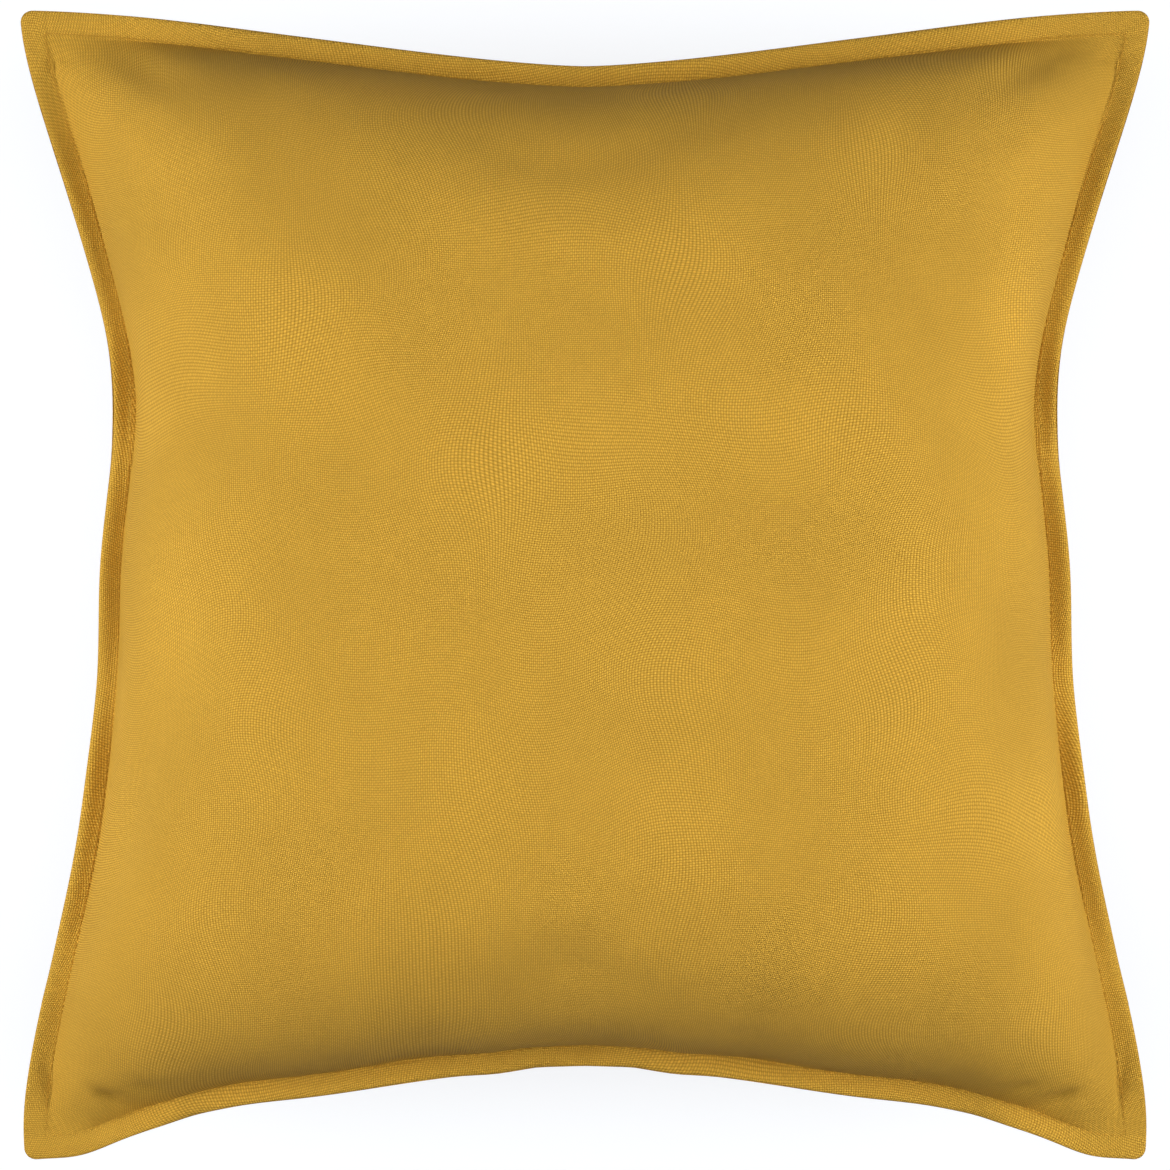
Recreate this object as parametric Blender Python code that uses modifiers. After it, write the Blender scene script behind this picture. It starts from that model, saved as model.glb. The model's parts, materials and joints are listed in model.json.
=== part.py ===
"""Square throw pillow, 450 mm nominal: a flanged woven cover with a zip in its back, over a stuffed pad.

It lies on its back panel, front panel up. X runs along the width, Y from the zipped edge to the top edge,
Z up through the thickness, and Z = 0 is the flat patch that the back panel rests on.

Each panel is a sheet over (a, b), both from -1 to 1 across the cover. plan() places (a, b) in X and Y,
with the edges pulled in between the corners, and dome() gives the height above the flange plane.
"""

import math

import bmesh
import bpy
from mathutils import Matrix, Vector

MM = 0.001

# Cover outline, from its centre
HALF_WIDTH = 219.6 * MM
HALF_LENGTH = 223.3 * MM
FLANGE_WIDTH = 9.5 * MM
SIDE_PULL = 32.5 * MM
SIDE_PULL_SKEW = 0.42
SIDE_PULL_POWERS = (2.6, 1.8)
TOP_PULL = 21.8 * MM
TOP_PULL_POWERS = (1.5, 1.75)
BOTTOM_PULL = 36.6 * MM
BOTTOM_PULL_POWERS = (1.5, 1.05)

# Thickness
FLANGE_HEIGHT = 74.0 * MM
FRONT_CROWN = 81.0 * MM
BACK_CROWN = 79.0 * MM
DOME_POWER = 2.4
DOME_ROUNDNESS = 0.5

# Cloth and gaps between pieces that touch on the real pillow
GAP = 0.3 * MM
COVER_CLOTH = 0.8 * MM
CASING_CLOTH = 0.4 * MM
LABEL_CLOTH = 0.25 * MM
LABEL_GAP = 1.6 * MM
THREAD_RADIUS = 0.3 * MM
PLY_SPACE = 2 * THREAD_RADIUS + 2 * GAP

# Inner pad, as shares of the cover's seam outline and of its heights
PAD_PLAN_SHARE = 0.960
PAD_HEIGHT_SHARE = 0.945
PAD_MARGIN = 5.0 * MM
FILL_PLAN_SHARE = 0.975
FILL_HEIGHT_SHARE = 0.970
CLOSING_STITCH_LENGTH = 140.0 * MM

# Zip, a narrow nylon coil zip. N is the distance out of the pillow from the middle of the coil.
ZIP_ROW = -0.73
ZIP_LENGTH = 340.0 * MM
ZIP_SLOT_HALF = 3.5 * MM
SLOT_CLOSE_LENGTH = 12.0 * MM
TACK_CLEAR = 6.0 * MM
CLOSED_SLOT_HALF = 0.25 * MM
PANEL_FACE_N = 1.35 * MM
COIL_RADIUS = 0.8 * MM
COIL_OFFSET = 1.5 * MM
TAPE_INNER = 2.6 * MM
TAPE_OUTER = 12.0 * MM
TAPE_CLOTH = 0.5 * MM
TAPE_TAIL = 8.0 * MM
ZIP_STITCH_OFFSET = 6.5 * MM
BAND_FLAT = 15.0 * MM
BAND_FADE_UPPER = 48.0 * MM
BAND_FADE_LOWER = 27.0 * MM
STOP_LENGTH = 2.5 * MM
STOP_HALF_HEIGHT = 1.0 * MM
STOP_INNER = 0.5 * MM
STOP_OUTER = 2.3 * MM
TACK_LENGTH = 2.0 * MM
TACK_WIDTH = 9.0 * MM
TACK_HEIGHT = 0.5 * MM

# Slider and pull tab
SLIDER_LENGTH = 8.0 * MM
SLIDER_WIDTH = 6.0 * MM
PLATE_NEAR_N = 1.1 * MM
PLATE_THICKNESS = 1.0 * MM
POST_LENGTH = 2.0 * MM
POST_WIDTH = 0.6 * MM
BRIDGE_LENGTH = 6.0 * MM
BRIDGE_WIDTH = 1.0 * MM
BRIDGE_BAR = 0.8 * MM
BRIDGE_CLEAR = 2.0 * MM
SLIDER_EDGE = 0.15 * MM
TAB_LENGTH = 20.0 * MM
TAB_WIDTH = 5.0 * MM
TAB_NECK_WIDTH = 3.8 * MM
TAB_THICKNESS = 1.0 * MM
TAB_BAR = 1.0 * MM
TAB_WINDOW_LENGTH = 3.6 * MM
TAB_WINDOW_WIDTH = 1.7 * MM
TAB_CORNER = 1.2 * MM
REST_CLEARANCE = 0.6 * MM

# Mesh fineness
DOME_CELLS = 9
PAD_CELLS = 7
UPPER_ROWS = 12
LOWER_ROWS = 4
RING_POINTS_PER_SIDE = 13
ZIP_POINTS = 27

PARTS = "throw_pillow"
CUTTERS = "joining_shapes"

YELLOW_CLOTH = (0.565, 0.317, 0.043)
YELLOW_THREAD = (0.50, 0.28, 0.035)
YELLOW_TAPE = (0.43, 0.24, 0.03)
YELLOW_COIL = (0.47, 0.27, 0.04)
GREY_METAL = (0.55, 0.55, 0.54)
WHITE_CLOTH = (0.80, 0.79, 0.75)
WHITE_FIBRE = (0.86, 0.86, 0.84)


# ---------------------------------------------------------------- scene and materials


def clear_scene():
    """Removes every object, so that a second run starts from nothing."""
    for item in list(bpy.data.objects):
        bpy.data.objects.remove(item, do_unlink=True)


def collection(name):
    """The collection of that name, made and linked if it isn't there."""
    found = bpy.data.collections.get(name)
    if found is None:
        found = bpy.data.collections.new(name)
        bpy.context.scene.collection.children.link(found)
    return found


def finish_material(name, colour, roughness, metallic=0.0):
    """A Principled material of one colour."""
    made = bpy.data.materials.new(name)
    made.use_nodes = True
    shader = made.node_tree.nodes["Principled BSDF"]
    shader.inputs["Base Color"].default_value = (*colour, 1.0)
    shader.inputs["Roughness"].default_value = roughness
    shader.inputs["Metallic"].default_value = metallic
    return made


def add_object(name, data, finish, group=PARTS):
    """Links an object that holds data, with its finish, to a collection."""
    item = bpy.data.objects.new(name, data)
    collection(group).objects.link(item)
    if finish is not None:
        data.materials.append(finish)
    return item


# ---------------------------------------------------------------- the pillow's form


def bow(share, powers):
    """1 in the middle of an edge, falling to 0 at its ends."""
    inner, outer = powers
    return max(0.0, 1.0 - abs(share) ** inner) ** outer


def plan(a, b):
    """X and Y of a point of the cover, with the edges pulled in between the corners."""
    side = SIDE_PULL * bow(b, SIDE_PULL_POWERS) * (1.0 + SIDE_PULL_SKEW * b)
    top = TOP_PULL * bow(a, TOP_PULL_POWERS) * ((1.0 + b) / 2.0) ** 1.5
    bottom = BOTTOM_PULL * bow(a, BOTTOM_PULL_POWERS) * ((1.0 - b) / 2.0) ** 1.5
    return a * (HALF_WIDTH - side), b * HALF_LENGTH - top + bottom


SEAM_A = 1.0 - FLANGE_WIDTH / HALF_WIDTH
SEAM_B = 1.0 - FLANGE_WIDTH / HALF_LENGTH


def dome(a, b):
    """The height of the stuffed form, 1 at the crown and 0 on the flange."""
    across = max(0.0, 1.0 - abs(a / SEAM_A) ** DOME_POWER)
    along = max(0.0, 1.0 - abs(b / SEAM_B) ** DOME_POWER)
    return (across * along) ** DOME_ROUNDNESS


def front_face(a, b):
    """A point of the front panel's outer face."""
    x, y = plan(a, b)
    return Vector((x, y, FLANGE_HEIGHT + PLY_SPACE / 2 + COVER_CLOTH + FRONT_CROWN * dome(a, b)))


def back_form(a, b):
    """A point of the back's outer face, before the zip pulls it to its arc. It is flat at Z = 0."""
    x, y = plan(a, b)
    return Vector((x, y, max(0.0, FLANGE_HEIGHT - PLY_SPACE / 2 - COVER_CLOTH - BACK_CROWN * dome(a, b))))


def smooth_fall(value, start, end):
    """1 up to start, falling smoothly to 0 at end."""
    t = min(1.0, max(0.0, (value - start) / (end - start)))
    return 1.0 - t * t * (3.0 - 2.0 * t)


class ZipArc:
    """The zip's path: a circular arc through three points of the back, on the row b = ZIP_ROW.

    The strip of cloth along it is turned about the arc's axis, so the slider keeps its fit all the way.
    """

    def __init__(self):
        self.middle = back_form(0.0, ZIP_ROW)
        end = back_form(0.85, ZIP_ROW)
        rise = Vector((0.0, end.y - self.middle.y, end.z - self.middle.z))
        self.inward = rise.normalized()
        self.radius = (end.x**2 + rise.length**2) / (2.0 * rise.length)
        self.centre = self.middle + self.inward * self.radius
        self.axis = self.inward.cross(Vector((-1.0, 0.0, 0.0))).normalized()
        step = 0.01
        across = back_form(0.0, ZIP_ROW + step) - back_form(0.0, ZIP_ROW - step)
        self.stretch = across.length / (2.0 * step)
        self.across = across.normalized()
        self.half_angle = ZIP_LENGTH / 2.0 / self.radius

    def turn(self, angle):
        """The rotation that carries the arc's middle to the place at an angle along it."""
        return Matrix.Rotation(angle, 3, self.axis)

    def directions(self, angle):
        """Along the zip, across it towards the top edge, and out of the pillow."""
        turned = self.turn(angle)
        along = turned @ Vector((1.0, 0.0, 0.0))
        across = turned @ self.across
        return along, across, across.cross(along).normalized()

    def point(self, angle, offset, n):
        """A point at an angle along the zip, an offset across it and a height out of it."""
        _, across, out = self.directions(angle)
        arc = self.centre + self.turn(angle) @ (self.middle - self.centre)
        return arc + across * offset + out * (n - PANEL_FACE_N)

    def angle_at(self, x):
        """The angle of the place whose X is x."""
        return math.asin(x / self.radius)

    def column_at(self, length):
        """The a of the place at that length along the zip from its middle."""
        return self.radius * math.sin(length / self.radius) / plan(1.0, ZIP_ROW)[0]

    def placement(self, angle, n):
        """The matrix of a piece at that angle: its X is along, Y across and Z out."""
        along, across, out = self.directions(angle)
        turned = Matrix((along, -across, out)).transposed().to_4x4()
        return Matrix.Translation(self.point(angle, 0.0, n)) @ turned


ZIP = ZipArc()


def back_face(a, b, side):
    """A point of the back panels' outer face. side is 1 for the upper panel and -1 for the lower one."""
    base = back_form(a, b)
    angle = ZIP.angle_at(plan(a, ZIP_ROW)[0])
    past_end = abs(angle) * ZIP.radius - ZIP_LENGTH / 2.0
    open_share = smooth_fall(past_end, TACK_CLEAR, SLOT_CLOSE_LENGTH)
    slot = CLOSED_SLOT_HALF + (ZIP_SLOT_HALF - CLOSED_SLOT_HALF) * open_share
    offset = (b - ZIP_ROW) * ZIP.stretch + side * slot
    fade = BAND_FADE_UPPER if side > 0 else BAND_FADE_LOWER
    seam_end = ZIP.angle_at(plan(SEAM_A, ZIP_ROW)[0]) * ZIP.radius - ZIP_LENGTH / 2.0
    share = smooth_fall(abs(offset), BAND_FLAT, fade)
    share *= smooth_fall(past_end, SLOT_CLOSE_LENGTH, seam_end)
    pulled = ZIP.point(angle, offset, PANEL_FACE_N)
    opened = base + Vector((0.0, side * CLOSED_SLOT_HALF * smooth_fall(abs(offset), 0.0, BAND_FLAT), 0.0))
    return opened.lerp(pulled, share)


def back_upper_face(a, b):
    """A point of the upper back panel's outer face."""
    return back_face(a, b, 1.0)


def back_lower_face(a, b):
    """A point of the lower back panel's outer face."""
    return back_face(a, b, -1.0)


def pad_face(a, b, side, plan_share=PAD_PLAN_SHARE, height_share=PAD_HEIGHT_SHARE, ply=PLY_SPACE / 2):
    """A point of the inner pad's outer face, on the front (side 1) or the back (side -1)."""
    x, y = plan(a * SEAM_A, b * SEAM_B)
    flat_height = FLANGE_HEIGHT + ply * side
    crown = FRONT_CROWN if side > 0 else min(BACK_CROWN, FLANGE_HEIGHT)
    inner = 1.0 - PAD_MARGIN / HALF_WIDTH
    height = dome(min(1.0, abs(a) / inner) * SEAM_A, min(1.0, abs(b) / inner) * SEAM_B)
    top = flat_height + side * (CASING_CLOTH + crown * height_share * height)
    return Vector((x * plan_share, y * plan_share, top))


# ---------------------------------------------------------------- makers of shapes


def seam_spaced(cells):
    """Places from -1 to 1 that lie closer together towards the seam, where the form is steep."""
    return [math.sin(math.pi / 2.0 * k / cells) for k in range(-cells, cells + 1)]


def even_spaced(first, last, cells):
    """Evenly spaced places from first to last."""
    return [first + (last - first) * k / cells for k in range(cells + 1)]


def grid_mesh(bm, columns, rows, point, facing_up):
    """Adds a grid to bm and moves its vertices to point(column, row)."""
    made = bmesh.ops.create_grid(bm, x_segments=len(columns) - 1, y_segments=len(rows) - 1, size=1.0)
    for vertex in made["verts"]:
        i = round((vertex.co.x + 1.0) / 2.0 * (len(columns) - 1))
        j = round((vertex.co.y + 1.0) / 2.0 * (len(rows) - 1))
        vertex.co = point(columns[i], rows[j])
    if not facing_up:
        faces = {face for vertex in made["verts"] for face in vertex.link_faces}
        bmesh.ops.reverse_faces(bm, faces=list(faces))


def finished_mesh(name, bm):
    """Turns bm into a mesh with smooth faces and sharp creases."""
    mesh = bpy.data.meshes.new(name)
    bm.to_mesh(mesh)
    bm.free()
    mesh.shade_smooth()
    mesh.set_sharp_from_angle(angle=math.radians(50.0))
    return mesh


def cloth_sheet(name, columns, rows, point, thickness, facing_up, finish):
    """A sheet of cloth: a grid over point(column, row), thickened inwards from its outer face."""
    bm = bmesh.new()
    grid_mesh(bm, columns, rows, point, facing_up)
    item = add_object(name, finished_mesh(name, bm), finish)
    thicken = item.modifiers.new("cloth_thickness", "SOLIDIFY")
    thicken.thickness = thickness
    thicken.offset = -1.0
    return item


def thread(name, points, radius, closed, finish):
    """A thread or a coil's outer shape: a round tube through points."""
    curve = bpy.data.curves.new(name, "CURVE")
    curve.dimensions = "3D"
    curve.bevel_depth = radius
    curve.bevel_resolution = 1
    curve.use_fill_caps = not closed
    spline = curve.splines.new("POLY")
    spline.points.add(len(points) - 1)
    for spot, place in zip(spline.points, points):
        spot.co = (*place, 1.0)
    spline.use_cyclic_u = closed
    return add_object(name, curve, finish)


def ring_places(a_edge, b_edge):
    """(a, b) places round a square ring, corners included once each."""
    steps = even_spaced(-1.0, 1.0, RING_POINTS_PER_SIDE)[:-1]
    bottom = [(a_edge * s, -b_edge) for s in steps]
    right = [(a_edge, b_edge * s) for s in steps]
    top = [(-a_edge * s, b_edge) for s in steps]
    left = [(-a_edge, -b_edge * s) for s in steps]
    return bottom + right + top + left


def block(bm, size, centre):
    """Adds a box of that size to bm."""
    made = bmesh.ops.create_cube(bm, size=1.0)
    for vertex in made["verts"]:
        vertex.co = Vector(c * s for c, s in zip(vertex.co, size)) + Vector(centre)


def block_object(name, size, centre, finish, group=PARTS):
    """A box as its own object."""
    bm = bmesh.new()
    block(bm, size, centre)
    return add_object(name, finished_mesh(name, bm), finish, group)


def place(item, parent, matrix):
    """Puts an object at a world matrix, under a parent that is unturned, or under none."""
    item.parent = parent
    shift = -parent.location if parent else Vector((0.0, 0.0, 0.0))
    item.matrix_basis = Matrix.Translation(shift) @ matrix


# ---------------------------------------------------------------- cover


def dome_places(seam):
    """The front panel's grid places one way: the dome's own, and one more at each flange edge."""
    return [-1.0] + [seam * s for s in seam_spaced(DOME_CELLS)] + [1.0]


def back_columns():
    """The back panels' columns: the front panel's, and two at each end of the zip."""
    ends = [ZIP.column_at(ZIP_LENGTH / 2.0 + length) for length in (TACK_CLEAR, SLOT_CLOSE_LENGTH)]
    return sorted(dome_places(SEAM_A) + ends + [-end for end in ends])


def upper_rows():
    """Rows of the upper back panel: one at the edge of the flat strip along the zip, then closer to the seam."""
    strip_edge = ZIP_ROW + (BAND_FLAT - CLOSED_SLOT_HALF) / ZIP.stretch
    turns = even_spaced(math.asin(strip_edge / SEAM_B), math.pi / 2.0, UPPER_ROWS)
    return [ZIP_ROW] + [SEAM_B * math.sin(turn) for turn in turns] + [1.0]


def lower_rows():
    """Rows of the lower back panel, from the bottom flange to the flat strip along the zip."""
    strip_edge = ZIP_ROW - (BAND_FLAT - CLOSED_SLOT_HALF) / ZIP.stretch
    turns = even_spaced(-math.pi / 2.0, math.asin(strip_edge / SEAM_B), LOWER_ROWS)
    return [-1.0] + [SEAM_B * math.sin(turn) for turn in turns] + [ZIP_ROW]


def build_cover(cloth, sewing):
    """The front panel, the two back panels and the threads of the edge seam and the flange."""
    columns = dome_places(SEAM_A)
    cloth_sheet("front_panel", columns, dome_places(SEAM_B), front_face, COVER_CLOTH, True, cloth)
    columns = back_columns()
    cloth_sheet("back_upper_panel", columns, upper_rows(), back_upper_face, COVER_CLOTH, False, cloth)
    cloth_sheet("back_lower_panel", columns, lower_rows(), back_lower_face, COVER_CLOTH, False, cloth)

    edge_inset = 2.0 * MM
    edge = ring_places(1.0 - edge_inset / HALF_WIDTH, 1.0 - edge_inset / HALF_LENGTH)
    middle = [Vector((*plan(a, b), FLANGE_HEIGHT)) for a, b in edge]
    thread("perimeter_seam_thread", middle, THREAD_RADIUS, True, sewing)

    stitch_outset = 1.6 * MM
    line = ring_places(SEAM_A + stitch_outset / HALF_WIDTH, SEAM_B + stitch_outset / HALF_LENGTH)
    lift = PLY_SPACE / 2 + COVER_CLOTH + GAP + THREAD_RADIUS
    front_line = [Vector((*plan(a, b), FLANGE_HEIGHT + lift)) for a, b in line]
    back_line = [Vector((*plan(a, b), FLANGE_HEIGHT - lift)) for a, b in line]
    thread("flange_topstitch_thread", front_line, THREAD_RADIUS, True, sewing)
    thread("flange_bobbin_thread", back_line, THREAD_RADIUS, True, sewing)


def build_care_label(finish):
    """A blank cloth label inside the back panel, held in the left side seam."""
    inward = COVER_CLOTH + LABEL_GAP

    def face(a, b):
        step = 0.002
        along = back_form(a + step, b) - back_form(a - step, b)
        across = back_form(a, b + step) - back_form(a, b - step)
        return back_form(a, b) + along.cross(across).normalized() * inward

    columns = even_spaced(-SEAM_A * 0.93, -SEAM_A * 0.66, 5)
    rows = even_spaced(-0.22, -0.10, 2)
    cloth_sheet("care_label", columns, rows, face, LABEL_CLOTH, False, finish)


# ---------------------------------------------------------------- zip


def zip_angles(tail=0.0, cells=ZIP_POINTS):
    """Angles along the zip, from its left end to its right end, with a tail past both."""
    reach = ZIP.half_angle + tail / ZIP.radius
    return even_spaced(-reach, reach, cells)


def build_zip_side(side, word, tape_cloth, coil_nylon, sewing):
    """One half of the zip: its tape, its coil, its stitch line and its top stop."""

    def tape_face(angle, offset):
        return ZIP.point(angle, offset, TAPE_CLOTH / 2)

    offsets = sorted((side * TAPE_INNER, side * TAPE_OUTER))
    rows = even_spaced(offsets[0], offsets[1], 2)
    cloth_sheet(f"zip_tape_{word}", zip_angles(TAPE_TAIL), rows, tape_face, TAPE_CLOTH, False, tape_cloth)

    end = STOP_LENGTH + GAP
    reach = ZIP.half_angle - end / ZIP.radius
    coil = [ZIP.point(angle, side * COIL_OFFSET, 0.0) for angle in even_spaced(-reach, reach, ZIP_POINTS)]
    thread(f"zip_coil_{word}", coil, COIL_RADIUS, False, coil_nylon)

    line_n = PANEL_FACE_N + GAP + THREAD_RADIUS
    line = [ZIP.point(angle, side * ZIP_STITCH_OFFSET, line_n) for angle in zip_angles()]
    thread(f"zip_stitch_{word}", line, THREAD_RADIUS, False, sewing)


def build_zip_ends(metal, sewing):
    """The two top stops at the right end, the bottom stop at the left end, and a bar tack past each."""
    middle = ZIP.half_angle - STOP_LENGTH / 2 / ZIP.radius
    height = 2 * STOP_HALF_HEIGHT
    for side, word in ((1.0, "upper"), (-1.0, "lower")):
        width = STOP_OUTER - STOP_INNER
        centre = (0.0, -side * (STOP_OUTER + STOP_INNER) / 2, 0.0)
        stop = block_object(f"zip_top_stop_{word}", (STOP_LENGTH, width, height), centre, metal)
        round_edges(stop, SLIDER_EDGE)
        place(stop, None, ZIP.placement(middle, 0.0))
    stop = block_object("zip_bottom_stop", (STOP_LENGTH, 2 * STOP_OUTER, height), (0.0, 0.0, 0.0), metal)
    round_edges(stop, SLIDER_EDGE)
    place(stop, None, ZIP.placement(-middle, 0.0))

    reach = ZIP.half_angle + (TACK_LENGTH / 2 + 1.5 * MM) / ZIP.radius
    tack_n = PANEL_FACE_N + GAP + TACK_HEIGHT / 2
    for sign, word in ((-1.0, "left"), (1.0, "right")):
        size = (TACK_LENGTH, TACK_WIDTH, TACK_HEIGHT)
        tack = block_object(f"bar_tack_{word}", size, (0.0, 0.0, 0.0), sewing)
        round_edges(tack, SLIDER_EDGE)
        place(tack, None, ZIP.placement(sign * reach, tack_n))


def round_edges(item, width):
    """A one-segment bevel on every edge."""
    bevel = item.modifiers.new("edge", "BEVEL")
    bevel.width = width
    bevel.segments = 1
    bevel.limit_method = "ANGLE"


SLIDER_ANGLE = ZIP.half_angle - (STOP_LENGTH + REST_CLEARANCE + SLIDER_LENGTH / 2) / ZIP.radius
PIVOT_N = PLATE_NEAR_N + PLATE_THICKNESS + BRIDGE_CLEAR / 2


def hanging_angle():
    """How far the hanging pull tab leans from straight out of the pillow, about the slider's cross axis."""
    along, _, out = ZIP.directions(SLIDER_ANGLE)
    return math.atan2(-along.z, -out.z)


def build_slider(metal):
    """The slider: two plates joined by a post between the coils, with a bridge for the pull tab."""
    axis = bpy.data.objects.new("zip_travel_axis", None)
    collection(PARTS).objects.link(axis)
    axis.location = ZIP.centre

    plate = (SLIDER_LENGTH, SLIDER_WIDTH, PLATE_THICKNESS)
    plate_n = PLATE_NEAR_N + PLATE_THICKNESS / 2
    placement = ZIP.placement(SLIDER_ANGLE, 0.0)
    slider = block_object("zip_slider_body", plate, (0.0, 0.0, plate_n), metal)
    place(slider, axis, placement)

    overlap = 0.2 * MM
    foot_height = BRIDGE_CLEAR + BRIDGE_BAR + overlap
    foot_n = PLATE_NEAR_N + PLATE_THICKNESS - overlap + foot_height / 2
    foot_at = BRIDGE_LENGTH / 2 - BRIDGE_BAR / 2
    bar_n = PLATE_NEAR_N + PLATE_THICKNESS + BRIDGE_CLEAR + BRIDGE_BAR / 2
    post_height = 2 * PLATE_NEAR_N + 2 * overlap
    shapes = (
        ("slider_post", (POST_LENGTH, POST_WIDTH, post_height), (SLIDER_LENGTH / 4, 0.0, 0.0)),
        ("slider_inner_plate", plate, (0.0, 0.0, -plate_n)),
        ("slider_foot_front", (BRIDGE_BAR, BRIDGE_WIDTH, foot_height), (foot_at, 0.0, foot_n)),
        ("slider_foot_rear", (BRIDGE_BAR, BRIDGE_WIDTH, foot_height), (-foot_at, 0.0, foot_n)),
        ("slider_bar", (BRIDGE_LENGTH - overlap, BRIDGE_WIDTH - overlap, BRIDGE_BAR), (0.0, 0.0, bar_n - overlap / 2)),
    )
    for name, size, centre in shapes:
        shape = block_object(name, size, centre, None, CUTTERS)
        shape.hide_render = True
        shape.display_type = "WIRE"
        place(shape, axis, placement)
        union = slider.modifiers.new(name, "BOOLEAN")
        union.operation = "UNION"
        union.solver = "EXACT"
        union.object = shape
    return axis


def rounded_box_outline(x_low, x_high, half_width, corner):
    """Points of a flat box with cut corners, anticlockwise."""
    return [
        (x_low, half_width - corner),
        (x_low, corner - half_width),
        (x_low + corner, -half_width),
        (x_high - corner, -half_width),
        (x_high, corner - half_width),
        (x_high, half_width - corner),
        (x_high - corner, half_width),
        (x_low + corner, half_width),
    ]


def build_pull_tab(axis, metal):
    """The pull tab: a flat plate whose end bar turns under the slider's bridge."""
    curve = bpy.data.curves.new("zip_pull_tab", "CURVE")
    curve.dimensions = "2D"
    curve.fill_mode = "BOTH"
    curve.extrude = TAB_THICKNESS / 2
    neck = TAB_BAR / 2 + TAB_WINDOW_LENGTH
    shoulder = neck + TAB_CORNER
    half_neck = TAB_NECK_WIDTH / 2
    half = TAB_WIDTH / 2
    outer = [
        (-TAB_BAR / 2, half_neck),
        (-TAB_BAR / 2, -half_neck),
        (neck, -half_neck),
        (shoulder, -half),
        (TAB_LENGTH - TAB_CORNER, -half),
        (TAB_LENGTH, TAB_CORNER - half),
        (TAB_LENGTH, half - TAB_CORNER),
        (TAB_LENGTH - TAB_CORNER, half),
        (shoulder, half),
        (neck, half_neck),
    ]
    window = rounded_box_outline(TAB_BAR / 2, neck, TAB_WINDOW_WIDTH / 2, 0.2 * MM)
    for outline in (outer, window):
        spline = curve.splines.new("POLY")
        spline.points.add(len(outline) - 1)
        for spot, (x, y) in zip(spline.points, outline):
            spot.co = (x, y, 0.0, 1.0)
        spline.use_cyclic_u = True
    tab = add_object("zip_pull_tab", curve, metal)
    pivot = ZIP.placement(SLIDER_ANGLE, PIVOT_N)
    outward = Matrix.Rotation(hanging_angle() - math.pi / 2, 4, "Y")
    place(tab, axis, pivot @ outward)


# ---------------------------------------------------------------- inner pad


def build_pad(casing_cloth, sewing, fibre, label_cloth):
    """The stuffed pad: two casing panels, their seam and closing stitches, the filling and a blank tag."""
    margin = 1.0 - PAD_MARGIN / HALF_WIDTH
    places = [-1.0] + [margin * s for s in seam_spaced(PAD_CELLS)] + [1.0]
    for name, side in (("insert_front_casing", 1.0), ("insert_back_casing", -1.0)):
        cloth_sheet(
            name,
            places,
            places,
            lambda a, b, side=side: pad_face(a, b, side),
            CASING_CLOTH,
            side > 0,
            casing_cloth,
        )

    middle = 1.0 - PAD_MARGIN / 2 / HALF_WIDTH
    ring = []
    for a, b in ring_places(middle, middle):
        spot = pad_face(a, b, 1.0)
        ring.append(Vector((spot.x, spot.y, FLANGE_HEIGHT)))
    thread("insert_seam_thread", ring, THREAD_RADIUS, True, sewing)

    closing = []
    lift = CASING_CLOTH + PLY_SPACE / 2 + GAP + THREAD_RADIUS
    half_share = CLOSING_STITCH_LENGTH / 2 / HALF_WIDTH
    for a in even_spaced(-half_share, half_share, 8):
        spot = pad_face(a, -middle, 1.0)
        closing.append(Vector((spot.x, spot.y, FLANGE_HEIGHT + lift)))
    thread("insert_closing_stitch", closing, THREAD_RADIUS, False, sewing)

    def tag_face(a, b):
        step = 0.002
        along = pad_face(a + step, b, 1.0) - pad_face(a - step, b, 1.0)
        across = pad_face(a, b + step, 1.0) - pad_face(a, b - step, 1.0)
        return pad_face(a, b, 1.0) + along.cross(across).normalized() * (GAP + LABEL_CLOTH)

    columns = even_spaced(0.74, 0.89, 4)
    rows = even_spaced(0.0, 0.10, 2)
    cloth_sheet("insert_label", columns, rows, tag_face, LABEL_CLOTH, True, label_cloth)

    bm = bmesh.new()
    fill_places = seam_spaced(PAD_CELLS)
    plan_share = PAD_PLAN_SHARE * FILL_PLAN_SHARE
    height_share = PAD_HEIGHT_SHARE * FILL_HEIGHT_SHARE
    inner = 1.0 - PAD_MARGIN / HALF_WIDTH
    for side in (1.0, -1.0):

        def fill_face(a, b, side=side):
            spot = pad_face(a * inner, b * inner, side, plan_share, height_share, 0.0)
            return spot - Vector((0.0, 0.0, side * CASING_CLOTH))

        grid_mesh(bm, fill_places, fill_places, fill_face, side > 0)
    bmesh.ops.remove_doubles(bm, verts=bm.verts, dist=0.01 * MM)
    add_object("fibre_filling", finished_mesh("fibre_filling", bm), fibre)


def main():
    """Builds every piece of the pillow."""
    clear_scene()
    cloth = finish_material("cover_canvas", YELLOW_CLOTH, 0.9)
    sewing = finish_material("sewing_thread", YELLOW_THREAD, 0.6)
    tape_cloth = finish_material("zip_tape_twill", YELLOW_TAPE, 0.8)
    coil_nylon = finish_material("zip_coil_nylon", YELLOW_COIL, 0.35)
    metal = finish_material("zip_metal", GREY_METAL, 0.35, 1.0)
    label_cloth = finish_material("label_satin", WHITE_CLOTH, 0.5)
    casing_cloth = finish_material("casing_nonwoven", WHITE_CLOTH, 0.9)
    pad_sewing = finish_material("casing_thread", WHITE_CLOTH, 0.6)
    fibre = finish_material("polyester_fibre", WHITE_FIBRE, 0.95)

    build_cover(cloth, sewing)
    build_care_label(label_cloth)
    build_zip_side(1.0, "upper", tape_cloth, coil_nylon, sewing)
    build_zip_side(-1.0, "lower", tape_cloth, coil_nylon, sewing)
    build_zip_ends(metal, sewing)
    axis = build_slider(metal)
    build_pull_tab(axis, metal)
    build_pad(casing_cloth, pad_sewing, fibre, label_cloth)


main()
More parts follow.
